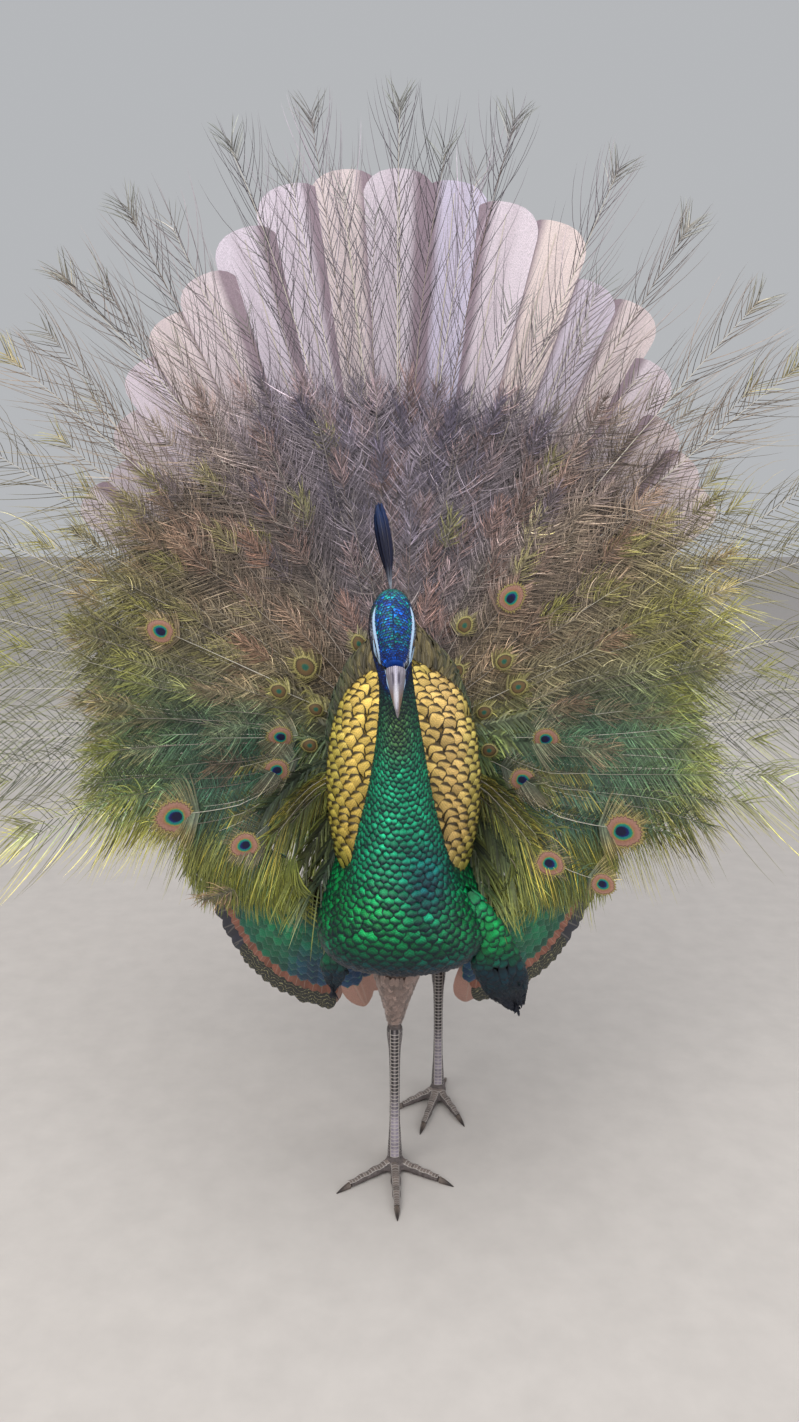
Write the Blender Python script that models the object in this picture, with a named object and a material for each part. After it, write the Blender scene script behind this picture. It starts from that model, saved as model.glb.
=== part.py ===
"""A life-size peacock standing in full display, as a still museum-type model.

Metres, +Z up, the bird faces -Y.  Side profiles are drawn in the (y, z) plane through the
body; the empty "peacock" then moves the whole bird so that the origin lies on the floor at
the middle of its bounding box.  Left and right are the bird's own (its left is +X).
"""

import math

import bmesh
import bpy
from mathutils import Matrix, Vector

# ---- driving dimensions -------------------------------------------------------------
GAP = 0.0003             # space kept between touching pieces
CENTRING_Y = 0.046       # moves the bounding box onto the origin
BODY_SIDES = 16          # points round a ring of the head, neck and trunk
BODY_SWAY = 0.005        # the trunk stands a little to the bird's left of its fan

EYE_RADIUS = 0.0068
EYE_PLACE = (0.0158, -0.2490, 0.6835)
SHANK_TOP = 0.196        # height of the ankle joint
SHANK_FOOT = 0.017       # height where the shank meets the foot

FAN_HUB = Vector((0.0, 0.060, 0.520))    # where the train's shafts would meet
FAN_LOW_EDGE = 108.0     # degrees from straight up to the train's lower edge
FAN_FEATHER_STEP = 6.0   # degrees between feather tips
TRAIN_THICKNESS = 0.0010
TAIL_HUB = Vector((0.0, 0.104, 0.440))
TAIL_SPREAD = 50.0
TAIL_THICKNESS = 0.0012
WRIST = Vector((0.095, -0.155, 0.420))   # of the left wing


# ---- shared modelling steps ---------------------------------------------------------
def clear_scene():
    for obj in list(bpy.data.objects):
        bpy.data.objects.remove(obj, do_unlink=True)


def finish_material(name, colour, roughness, metallic=0.0):
    found = bpy.data.materials.get(name)
    if found:
        return found
    made = bpy.data.materials.new(name)
    made.use_nodes = True
    shader = made.node_tree.nodes["Principled BSDF"]
    shader.inputs["Base Color"].default_value = (*colour, 1.0)
    shader.inputs["Roughness"].default_value = roughness
    shader.inputs["Metallic"].default_value = metallic
    return made


def add_piece(name, mesh_builder, material, parent, smooth=True):
    bmesh.ops.triangulate(mesh_builder, faces=mesh_builder.faces)
    bmesh.ops.recalc_face_normals(mesh_builder, faces=mesh_builder.faces)
    mesh = bpy.data.meshes.new(name)
    mesh_builder.to_mesh(mesh)
    mesh_builder.free()
    if smooth:
        mesh.shade_smooth()
        mesh.set_sharp_from_angle(angle=math.radians(40.0))
    mesh.materials.append(material)
    piece = bpy.data.objects.new(name, mesh)
    bpy.context.scene.collection.objects.link(piece)
    piece.parent = parent
    return piece


def smooth_step(value):
    value = min(max(value, 0.0), 1.0)
    return value * value * (3.0 - 2.0 * value)


def read_curve(rows, place):
    """Row values at a place between rows, on a smooth curve through every row."""
    last = len(rows) - 1
    low = min(max(int(place), 0), last - 1)
    part = place - low
    before, start = rows[max(low - 1, 0)], rows[low]
    end, after = rows[low + 1], rows[min(low + 2, last)]
    values = []
    for a, b, c, d in zip(before, start, end, after):
        bend = (2 * a - 5 * b + 4 * c - d) * part + (3 * b - a - 3 * c + d) * part * part
        values.append(b + 0.5 * part * (c - a + bend))
    return values


def oval_ring(centre, reach, side, sides, fullness=0.0, squareness=1.0):
    """Points round an oval: reach is its half length towards angle 0, side its half width."""
    points = []
    for index in range(sides):
        angle = 2 * math.pi * index / sides
        along, across = math.cos(angle), math.sin(angle)
        across = math.copysign(abs(across) ** squareness, across)
        points.append(centre + reach * along + side * across * (1 + fullness * along))
    return points


def loft(rings):
    """A closed body through rings of equal point counts."""
    builder = bmesh.new()
    loops = [[builder.verts.new(point) for point in ring] for ring in rings]
    for lower, upper in zip(loops, loops[1:]):
        for index in range(len(lower)):
            following = (index + 1) % len(lower)
            builder.faces.new((lower[index], lower[following], upper[following], upper[index]))
    builder.faces.new(loops[0])
    builder.faces.new(loops[-1])
    return builder


def tube(path, radii, sides):
    """A tapered limb along a path that isn't upright."""
    rings = []
    for index, point in enumerate(path):
        ahead = path[min(index + 1, len(path) - 1)] - path[max(index - 1, 0)]
        side = ahead.cross(Vector((0, 0, 1))).normalized()
        lift = side.cross(ahead).normalized()
        rings.append(oval_ring(point, lift * radii[index], side * radii[index], sides))
    return loft(rings)


def shell(grid, thickness_at):
    """A closed plate: a grid of points, thickened backwards along its own normals."""
    rows, columns = len(grid), len(grid[0])
    builder = bmesh.new()
    front = [[builder.verts.new(point) for point in row] for row in grid]
    back = []
    for i in range(rows):
        back_row = []
        for j in range(columns):
            along = grid[min(i + 1, rows - 1)][j] - grid[max(i - 1, 0)][j]
            across = grid[i][min(j + 1, columns - 1)] - grid[i][max(j - 1, 0)]
            normal = along.cross(across).normalized()
            if normal.y < 0:
                normal.negate()
            thickness = thickness_at(i / (rows - 1), j / (columns - 1))
            back_row.append(builder.verts.new(grid[i][j] + normal * thickness))
        back.append(back_row)
    for i in range(rows - 1):
        for j in range(columns - 1):
            for side in (front, back):
                builder.faces.new((side[i][j], side[i][j + 1], side[i + 1][j + 1], side[i + 1][j]))
    rim = [(i, 0) for i in range(rows)] + [(rows - 1, j) for j in range(1, columns)]
    rim += [(i, columns - 1) for i in range(rows - 2, -1, -1)]
    rim += [(0, j) for j in range(columns - 2, 0, -1)]
    for (i, j), (k, m) in zip(rim, rim[1:] + rim[:1]):
        builder.faces.new((front[i][j], front[k][m], back[k][m], back[i][j]))
    return builder


def keep_largest_body(piece):
    """Drops the loose crumbs that a cut can leave."""
    builder = bmesh.new()
    builder.from_mesh(piece.data)
    unseen, bodies = set(builder.faces), []
    while unseen:
        stack, body = [unseen.pop()], []
        while stack:
            face = stack.pop()
            body.append(face)
            for edge in face.edges:
                for other in edge.link_faces:
                    if other in unseen:
                        unseen.discard(other)
                        stack.append(other)
        bodies.append(body)
    bodies.sort(key=lambda body: sum(face.calc_area() for face in body))
    for body in bodies[:-1]:
        bmesh.ops.delete(builder, geom=body, context="FACES")
    loose = [vert for vert in builder.verts if not vert.link_faces]
    bmesh.ops.delete(builder, geom=loose, context="VERTS")
    builder.to_mesh(piece.data)
    builder.free()


def apply_boolean(piece, other, operation):
    change = piece.modifiers.new(operation.title(), "BOOLEAN")
    change.operation = operation
    change.solver = "EXACT"
    change.object = other
    bpy.context.view_layer.update()
    graph = bpy.context.evaluated_depsgraph_get()
    shaped = bpy.data.meshes.new_from_object(piece.evaluated_get(graph))
    piece.modifiers.remove(change)
    piece.data = shaped


def fit_against(piece, neighbours, room=GAP):
    """Cuts the piece back to its neighbours, leaving the usual gap."""
    for neighbour in neighbours:
        grown = bmesh.new()
        grown.from_mesh(neighbour.data)
        bmesh.ops.recalc_face_normals(grown, faces=grown.faces)
        grown.normal_update()
        moves = [(vert, vert.normal * room * 1.5) for vert in grown.verts]
        for vert, move in moves:
            vert.co += move
        cutter = add_piece("cutter", grown, finish_material("cutter", (1, 0, 0), 0.5),
                           piece.parent, smooth=False)
        apply_boolean(piece, cutter, "DIFFERENCE")
        bpy.data.objects.remove(cutter, do_unlink=True)
    keep_largest_body(piece)


def join_bodies(piece, builders):
    """Unites further closed bodies with the piece, so that it stays one solid."""
    for builder in builders:
        extra = add_piece("extra", builder, piece.data.materials[0], piece.parent)
        apply_boolean(piece, extra, "UNION")
        bpy.data.objects.remove(extra, do_unlink=True)


# ---- head, neck and trunk: one loft, parted by thin cuts ----------------------------
# Each station is an oval ring across the body.  Its under point runs down the throat,
# breast and belly and its upper point over the crown, nape and back.
# columns: under y, under z, upper y, upper z, half width, low fullness, sideways sway
BODY_STATIONS = (
    (-0.256, 0.650, -0.276, 0.667, 0.0115, 0.00, -0.004),   # bill base
    (-0.247, 0.655, -0.272, 0.683, 0.0165, -0.05, -0.005),  # lores
    (-0.237, 0.659, -0.263, 0.705, 0.0222, -0.08, -0.006),  # eyes
    (-0.230, 0.657, -0.249, 0.726, 0.0250, -0.10, -0.007),
    (-0.224, 0.650, -0.230, 0.739, 0.0252, -0.08, -0.008),  # crown
    (-0.219, 0.641, -0.206, 0.738, 0.0243, 0.00, -0.008),
    (-0.217, 0.629, -0.185, 0.721, 0.0216, 0.00, -0.007),   # nape
    (-0.217, 0.610, -0.172, 0.688, 0.0184, 0.00, -0.005),
    (-0.219, 0.578, -0.164, 0.638, 0.0208, 0.00, -0.002),   # upper neck
    (-0.224, 0.533, -0.158, 0.578, 0.0282, 0.00, 0.000),
    (-0.232, 0.484, -0.150, 0.518, 0.0385, 0.00, 0.000),    # middle of the neck
    (-0.243, 0.435, -0.138, 0.470, 0.0515, 0.08, 0.000),
    (-0.258, 0.392, -0.112, 0.443, 0.0605, 0.22, 0.002),    # neck base
    (-0.264, 0.354, -0.075, 0.437, 0.0720, 0.38, 0.003),    # breast
    (-0.250, 0.318, -0.035, 0.445, 0.0870, 0.50, 0.003),
    (-0.214, 0.294, 0.005, 0.455, 0.0940, 0.46, 0.003),
    (-0.164, 0.278, 0.045, 0.458, 0.0990, 0.32, 0.003),     # belly
    (-0.108, 0.268, 0.080, 0.452, 0.0990, 0.20, 0.003),
    (-0.048, 0.266, 0.105, 0.440, 0.0920, 0.10, 0.003),
    (0.010, 0.274, 0.122, 0.425, 0.0780, 0.05, 0.003),      # rump
    (0.060, 0.308, 0.132, 0.410, 0.0560, 0.00, 0.003),
    (0.104, 0.350, 0.138, 0.394, 0.0260, 0.00, 0.003),      # vent
)
# node name: first station, last station, rings between
BODY_PARTS = {
    "head": (0, 6, 11),
    "neck_upper": (6, 9.5, 6),
    "neck_lower": (9.5, 12.5, 6),
    "breast": (12.5, 15, 5),
    "belly": (15, 18, 4),
    "rump": (18, 21, 4),
}


def body_ring(place):
    under_y, under_z, upper_y, upper_z, half_width, fullness, sway = read_curve(
        BODY_STATIONS, place)
    under = Vector((sway, under_y, under_z))
    upper = Vector((sway, upper_y, upper_z))
    squareness = 1.0 - 0.28 * smooth_step((place - 12.0) / 2.0) * smooth_step((20.0 - place) / 5.0)
    return oval_ring((under + upper) / 2, (under - upper) / 2, Vector((half_width, 0, 0)),
                     BODY_SIDES, fullness, squareness)


def inset_end(ring, inward):
    """Moves a flat end ring half a gap into its part, square to its own plane."""
    across = ring[BODY_SIDES // 4] - ring[3 * BODY_SIDES // 4]
    normal = across.cross(ring[0] - ring[BODY_SIDES // 2]).normalized()
    if normal.dot(inward - sum(ring, Vector()) / len(ring)) < 0:
        normal.negate()
    return [point + normal * GAP / 2 for point in ring]


def body_part(name, material, parent):
    first, last, steps = BODY_PARTS[name]
    rings = [body_ring(first + (last - first) * i / steps) for i in range(steps + 1)]
    middle = sum(rings[steps // 2], Vector()) / BODY_SIDES
    rings[0] = inset_end(rings[0], middle)
    rings[-1] = inset_end(rings[-1], middle)
    return add_piece(name, loft(rings), material, parent)


# ---- bill ---------------------------------------------------------------------------
BILL_LENGTH = 0.050
BILL_PITCH = math.radians(61.0)   # below level
BILL_STEPS = 7
BILL_GAPE = 6 / 7                 # how far the lower half reaches along the upper one
GAPE_DROOP = 0.0022
HOOK_DROOP = 0.0064


def bill_half(upper):
    """One mandible: D-shaped rings that narrow to the tip, the upper one hooked."""
    ahead = Vector((0, -math.cos(BILL_PITCH), -math.sin(BILL_PITCH)))
    over = Vector((0, -math.sin(BILL_PITCH), math.cos(BILL_PITCH)))
    base = Vector((-0.004, -0.2668, 0.6578)) + ahead * 0.0008
    reach = 1.0 if upper else BILL_GAPE
    rings = []
    for step in range(BILL_STEPS + 1):
        part = step / BILL_STEPS
        along = part * reach
        width = 0.0098 * (1 - part ** 1.35) + 0.0008
        droop = GAPE_DROOP * (along / BILL_GAPE) ** 2 if along < 0.9 else HOOK_DROOP
        tall = (0.0112 if upper else 0.0062) * (1 - part ** 1.8) + 0.0010
        sway = Vector((0.0022 * along, 0, 0))
        centre = base + ahead * BILL_LENGTH * along - over * droop + sway
        rings.append(bill_ring(centre, over if upper else -over, width, tall))
    return loft(rings)


def bill_ring(centre, over, width, tall):
    points = []
    for index in range(9):
        angle = math.pi * index / 8
        side = Vector((width * math.cos(angle), 0, 0))
        points.append(centre + over * (GAP / 2 + tall * math.sin(angle)) + side)
    return points


# ---- crest --------------------------------------------------------------------------
def crest_body():
    """A narrow upright bundle, widest near its upper half, leaning to the bird's right."""
    base, tip = Vector((-0.009, -0.222, 0.726)), Vector((-0.0215, -0.206, 0.829))
    rings = []
    for step in range(8):
        part = step / 7
        swell = 0.0032 + 0.0062 * math.sin(math.pi * min(part, 0.999) ** 1.25) ** 0.8
        rings.append(oval_ring(base.lerp(tip, part), Vector((0, swell * 1.5, 0)),
                               Vector((swell, 0, 0)), 8))
    return loft(rings)


# ---- mantle, train root and undertail: padded rings stacked up the back --------------
# columns: height, middle y, half width, half thickness
MANTLE_RINGS = (
    (0.362, -0.120, 0.070, 0.034),
    (0.400, -0.100, 0.087, 0.058),
    (0.450, -0.086, 0.097, 0.068),
    (0.500, -0.075, 0.101, 0.062),
    (0.550, -0.058, 0.097, 0.054),
    (0.590, -0.041, 0.085, 0.044),
    (0.617, -0.024, 0.062, 0.030),
    (0.630, -0.012, 0.028, 0.014),
)
TRAIN_ROOT_RINGS = (
    (0.430, 0.012, 0.070, 0.040),
    (0.480, 0.012, 0.098, 0.045),
    (0.530, 0.014, 0.108, 0.045),
    (0.580, 0.020, 0.100, 0.040),
    (0.630, 0.035, 0.078, 0.030),
    (0.664, 0.050, 0.040, 0.014),
)
UNDERTAIL_RINGS = (
    (0.335, 0.108, 0.030, 0.022),
    (0.370, 0.128, 0.052, 0.040),
    (0.420, 0.146, 0.062, 0.046),
    (0.465, 0.161, 0.056, 0.036),
    (0.505, 0.172, 0.040, 0.024),
    (0.535, 0.180, 0.018, 0.008),
)


def stacked_pad(rows, centre_x, layers, sides):
    rings = []
    for layer in range(layers + 1):
        height, middle, half_width, half_thick = read_curve(
            rows, (len(rows) - 1) * layer / layers)
        rings.append(oval_ring(Vector((centre_x, middle, height)), Vector((0, -half_thick, 0)),
                               Vector((half_width, 0, 0)), sides))
    return loft(rings)


# ---- flank tufts --------------------------------------------------------------------
# The long loose feathers at the breast's lower corners, hung out over the thighs.
# columns: x, y, z, half width, half thickness
FLANK_ROWS = {
    "left": (
        (0.072, -0.182, 0.392, 0.014, 0.010),
        (0.092, -0.188, 0.350, 0.027, 0.016),
        (0.110, -0.176, 0.308, 0.033, 0.017),
        (0.126, -0.160, 0.268, 0.034, 0.012),
        (0.137, -0.146, 0.240, 0.027, 0.004),
    ),
    "right": (
        (-0.070, -0.190, 0.330, 0.016, 0.010),
        (-0.074, -0.186, 0.310, 0.021, 0.012),
        (-0.076, -0.178, 0.292, 0.020, 0.010),
        (-0.078, -0.170, 0.276, 0.016, 0.006),
        (-0.079, -0.163, 0.264, 0.010, 0.003),
    ),
}
FLANK_STEPS, FLANK_SIDES = 5, 8


def flank_body(rows):
    """A flat bundle that widens, then narrows to its lower tip."""
    places = [read_curve(rows, (len(rows) - 1) * step / FLANK_STEPS)
              for step in range(FLANK_STEPS + 1)]
    ahead = (Vector(rows[-1][:3]) - Vector(rows[0][:3])).normalized()
    across = Vector((-ahead.z, 0.0, ahead.x)).normalized()
    front = ahead.cross(across).normalized()
    return loft([oval_ring(Vector(place[:3]), front * place[4], across * place[3], FLANK_SIDES)
                 for place in places])


# ---- wings --------------------------------------------------------------------------
WING_TOP = 4.0                       # degrees below level, outwards
WING_LOW = {1: 91.0, -1: 106.0}      # left (+1) stops beside its leg, right (-1) passes behind
WING_SIZE = {1: 1.00, -1: 1.045}     # the right wing is held a little more open
WING_ROWS, WING_COLUMNS = 3, 16
WING_SPLIT = 0.60                    # where the coverts end and the flight feathers start


def wing_reach(fall):
    """Length of the spread wing at an angle below level."""
    return 0.210 + 0.094 * smooth_step((fall - 22.0) / 72.0) - 0.030 * smooth_step(
        (fall - 97.0) / 12.0)


def wing_point(part, fall, side):
    radius = wing_reach(fall) * WING_SIZE[side] * part
    swing = math.radians(fall)
    camber = 0.020 * math.sin(math.pi * min(part, 1.0))
    sweep = (0.165 + 0.055 * smooth_step(fall / 90.0)) * part ** 1.15
    return Vector((BODY_SWAY + side * (WRIST.x + radius * math.cos(swing)),
                   WRIST.y + sweep - camber, WRIST.z - radius * math.sin(swing)))


def wing_grid(first, last, side, toothed):
    rows = []
    for i in range(WING_ROWS + 1):
        row = []
        for j in range(WING_COLUMNS + 1):
            part = first + (last - first) * i / WING_ROWS
            notch = 0.035 if toothed and i == WING_ROWS and j % 2 else 0.0
            fall = WING_TOP + (WING_LOW[side] - WING_TOP) * j / WING_COLUMNS
            row.append(wing_point(part - notch, fall, side))
        rows.append(row)
    return rows


def covert_thickness(along, across):
    return 0.0040 + 0.022 * (1 - along) * math.sin(math.pi * (0.08 + 0.84 * across))


def add_wings(body, parent, coverts, flight):
    for label, side in (("left", 1), ("right", -1)):
        inner = add_piece("wing_coverts_" + label,
                          shell(wing_grid(0.10, WING_SPLIT, side, False), covert_thickness),
                          coverts, parent)
        fit_against(inner, body)
        outer = add_piece("wing_feathers_" + label,
                          shell(wing_grid(WING_SPLIT + 0.004, 1.0, side, True),
                                lambda along, across: 0.0035 - 0.0022 * along),
                          flight, parent)
        fit_against(outer, body + [inner])


# ---- train and tail -----------------------------------------------------------------
TRAIN_PARTS = 7
TRAIN_ROWS = 5
WING_WRAP = 0.160        # how far the lowest train feathers come forwards over the wings
HEM_WIDTH = 14.0         # degrees of short feathers below the fan, in front of each wing
HEM_START, HEM_REACH = 0.215, 0.320


def train_reach(turn):
    """Length of the train at an angle from straight up, to the longest feather tips."""
    away = abs(turn)
    return 0.835 - 0.085 * smooth_step(away / 55.0) - 0.105 * smooth_step(
        (away - 50.0) / 40.0) - 0.170 * smooth_step((away - 88.0) / 24.0)


def train_depth(radius, turn):
    """The dish: back from the rump, over at the top, and forwards over the wings low down."""
    back = 0.085 * math.sin(math.pi / 2 * min(radius / 0.45, 1.0))
    over = 0.045 * smooth_step((radius - 0.45) / 0.45)
    forward = 0.34 * radius * smooth_step((abs(turn) - 60.0) / 55.0)
    wrap = (WING_WRAP + 0.050 * smooth_step((abs(turn) - 106.0) / 16.0)) * smooth_step(
        (abs(turn) - 86.0) / 22.0) * smooth_step((radius - 0.12) / 0.08)
    wrap *= 1.0 - 0.60 * smooth_step((radius - 0.20) / 0.18)
    return back - over - forward - wrap


def train_point(radius, turn):
    swing = math.radians(turn)
    return FAN_HUB + Vector((radius * math.sin(swing), train_depth(radius, turn),
                             radius * math.cos(swing)))


def train_grid(first_turn, last_turn, inner_radius, rows_count, limit=1.0):
    """Rows run outwards; the last one is toothed, one point to each feather."""
    teeth = max(round((last_turn - first_turn) / FAN_FEATHER_STEP), 1)
    margin = 0.06
    rows = []
    for i in range(rows_count + 1):
        out = i / rows_count
        row = []
        for j in range(2 * teeth + 1):
            turn = first_turn + margin + (last_turn - first_turn - 2 * margin) * j / (2 * teeth)
            reach = min(train_reach(turn), limit) * (1.0 if j % 2 else 0.88)
            row.append(train_point(inner_radius + (reach - inner_radius) * out, turn))
        rows.append(row)
    return rows


def add_train(parent, material):
    width = 2 * FAN_LOW_EDGE / TRAIN_PARTS
    names = ("low_right", "side_right", "high_right", "middle", "high_left", "side_left",
             "low_left")
    for index, name in enumerate(names):
        first = -FAN_LOW_EDGE + width * index
        grid = train_grid(first, first + width, 0.055, TRAIN_ROWS)
        add_piece("train_" + name, shell(grid, lambda along, across: TRAIN_THICKNESS),
                  material, parent)
    for name, first in (("hem_right", -FAN_LOW_EDGE - HEM_WIDTH), ("hem_left", FAN_LOW_EDGE)):
        grid = train_grid(first, first + HEM_WIDTH, HEM_START, 2, HEM_REACH)
        add_piece("train_" + name, shell(grid, lambda along, across: TRAIN_THICKNESS),
                  material, parent)


def tail_reach(turn):
    return 0.848 - 0.10 * smooth_step((abs(turn) - 9.0) / 18.0) - 0.12 * smooth_step(
        (abs(turn) - 27.0) / 14.0)


def tail_grid(first_turn, last_turn, feathers):
    columns = feathers * 3
    margin = 0.08
    rows = []
    for i in range(4):
        row = []
        for j in range(columns + 1):
            turn = first_turn + margin + (last_turn - first_turn - 2 * margin) * j / columns
            middle = first_turn + (last_turn - first_turn) * (j // 3 + 0.5) / feathers
            reach = tail_reach(middle if j < columns else turn)
            round_off = 1.0 if j % 3 else 0.968
            radius = 0.055 + (reach * round_off - 0.055) * i / 3
            swing = math.radians(turn)
            back = 0.085 * math.sin(math.pi / 2 * min(radius / 0.5, 1.0))
            row.append(TAIL_HUB + Vector((radius * math.sin(swing), back,
                                          radius * math.cos(swing))))
        rows.append(row)
    return rows


def add_tail(parent, material):
    width = 2 * TAIL_SPREAD / 3
    for index, name in enumerate(("tail_right", "tail_middle", "tail_left")):
        first = -TAIL_SPREAD + width * index
        add_piece(name, shell(tail_grid(first, first + width, 7 if index == 1 else 6),
                              lambda along, across: TAIL_THICKNESS), material, parent)


# ---- legs and feet ------------------------------------------------------------------
# Right foot stands forward, left foot back.  Toe directions are degrees from straight
# ahead (-Y) towards the bird's left (+X); lengths are to the base of the claw.
LEGS = {
    "right": {"stand": Vector((-0.006, -0.130, 0.0)), "turn": 2.0, "spread": 1.0,
              "knee_ahead": 0.050},
    "left": {"stand": Vector((0.055, 0.042, 0.0)), "turn": -15.0, "spread": 0.68,
             "knee_ahead": 0.062},
}
TOES = {
    "middle": (0.0, 0.086),
    "inner": (58.0, 0.064),
    "outer": (-54.0, 0.070),
    "hind": (176.0, 0.030),
}
CLAW_LENGTH = 0.020
TOE_ROOT = 0.0145        # where a toe leaves the ball of the foot


def toe_direction(leg, toe):
    spread = -LEGS[leg]["spread"] if leg == "left" else LEGS[leg]["spread"]
    if toe == "hind":
        spread = 1.0
    heading = math.radians(LEGS[leg]["turn"] + spread * TOES[toe][0])
    return Vector((math.sin(heading), -math.cos(heading), 0.0))


def sole_ring(centre, ahead, half_width, height):
    """A toe's cross section: round above, with a flat sole on the floor."""
    side = ahead.cross(Vector((0, 0, 1))).normalized()
    points = []
    for index in range(6):
        angle = 2 * math.pi * index / 6
        rise = max(math.sin(angle) * 0.62 + 0.38, 0.0) * height
        points.append(centre + side * half_width * math.cos(angle) + Vector((0, 0, rise)))
    return points


def toe_body(leg, toe):
    """A toe that swells at each of its joints; its root is sunk in the ball of the foot."""
    length = TOES[toe][1]
    ahead = toe_direction(leg, toe)
    joints, steps = (2.0, 3) if toe == "hind" else (3.0, 6)
    root = LEGS[leg]["stand"] + Vector((0, 0, 0.0012))
    rings = [sole_ring(root, ahead, 0.0056, 0.0120)]
    for step in range(steps + 1):
        part = step / steps
        swell = 1.0 + 0.10 * math.cos(2 * math.pi * joints * part)
        half_width = (0.0080 - 0.0028 * part) * swell
        height = (0.0140 - 0.0050 * part) * swell
        reach = TOE_ROOT + (length - TOE_ROOT) * part
        rings.append(sole_ring(LEGS[leg]["stand"] + ahead * reach, ahead, half_width, height))
    return loft(rings)


def foot_hub(leg):
    """The ball of the foot: a flat pad below, rising to the end of the shank."""
    stand = LEGS[leg]["stand"]
    rings = []
    for height, radius in ((0.0, 0.0120), (0.008, 0.0132), (SHANK_FOOT - GAP, 0.0096)):
        rings.append(oval_ring(stand + Vector((0, 0, height)), Vector((0, radius, 0)),
                               Vector((radius, 0, 0)), 12))
    return loft(rings)


def claw_body(leg, toe):
    """A curved claw whose tip comes down to the floor."""
    ahead = toe_direction(leg, toe)
    start = LEGS[leg]["stand"] + ahead * (TOES[toe][1] + GAP)
    length = CLAW_LENGTH * (0.72 if toe == "hind" else 1.0)
    rings = []
    for step in range(4):
        part = step / 3
        size = 1.0 - 0.86 * part ** 1.4
        rings.append(sole_ring(start + ahead * length * part, ahead, 0.0040 * size,
                               0.0080 * size))
    return loft(rings)


def shank_body(leg):
    """Ankle joint, slim shank and the widening above the toes."""
    stand = LEGS[leg]["stand"]
    profile = ((SHANK_TOP, 0.0095, 1.15), (SHANK_TOP - 0.014, 0.0104, 1.20),
               (SHANK_TOP - 0.034, 0.0074, 1.30), (0.110, 0.0063, 1.30),
               (0.060, 0.0068, 1.25), (0.032, 0.0088, 1.10), (SHANK_FOOT, 0.0094, 1.00))
    rings = []
    for step in range(10):
        height, radius, depth = read_curve(profile, 6 * step / 9)
        rings.append(oval_ring(stand + Vector((0, 0, height)), Vector((0, radius * depth, 0)),
                               Vector((radius, 0, 0)), 10))
    return loft(rings)


def thigh_body(leg):
    """The feathered drumstick, from the ankle up and forwards into the belly."""
    stand = LEGS[leg]["stand"]
    ankle = stand + Vector((0, 0, SHANK_TOP + GAP))
    knee = stand + Vector((0.004, -LEGS[leg]["knee_ahead"], 0.315))
    rings = []
    for step in range(7):
        part = step / 6
        radius = 0.0098 + 0.030 * part ** 1.15
        rings.append(oval_ring(ankle.lerp(knee, part), Vector((0, radius * 1.15, 0)),
                               Vector((radius, 0, 0)), 10))
    return loft(rings)


def spur_body(leg):
    """A short cone at the back of the shank."""
    root = LEGS[leg]["stand"] + Vector((0.0, 0.0072, 0.070))
    ahead = Vector((0.10 if leg == "left" else -0.10, 1.0, 0.18)).normalized()
    path = [root + ahead * 0.018 * part / 3 for part in range(4)]
    return tube(path, [0.0046, 0.0035, 0.0021, 0.0006], 6)


def add_legs(body, parent, feathered, scaly, horny):
    for leg in LEGS:
        thigh = add_piece("thigh_" + leg, thigh_body(leg), feathered, parent)
        fit_against(thigh, body)
        shank = add_piece("shank_" + leg, shank_body(leg), scaly, parent)
        spur = add_piece("spur_" + leg, spur_body(leg), horny, parent)
        fit_against(spur, [shank])
        foot = add_piece("foot_" + leg, foot_hub(leg), scaly, parent)
        join_bodies(foot, [toe_body(leg, toe) for toe in TOES])
        for toe in TOES:
            add_piece("claw_%s_%s" % (toe, leg), claw_body(leg, toe), horny, parent)


# ---- the whole bird -----------------------------------------------------------------
def add_eyes(head, parent, material):
    for label, side in (("left", 1), ("right", -1)):
        ball = bmesh.new()
        bmesh.ops.create_uvsphere(ball, u_segments=10, v_segments=6, radius=EYE_RADIUS)
        place = Vector((side * EYE_PLACE[0] - 0.006, EYE_PLACE[1], EYE_PLACE[2]))
        turn = Matrix.Rotation(math.radians(90.0), 4, "Y")
        bmesh.ops.transform(ball, matrix=Matrix.Translation(place) @ turn, verts=ball.verts)
        eye = add_piece("eye_" + label, ball, material, parent)
        fit_against(head, [eye])


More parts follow.
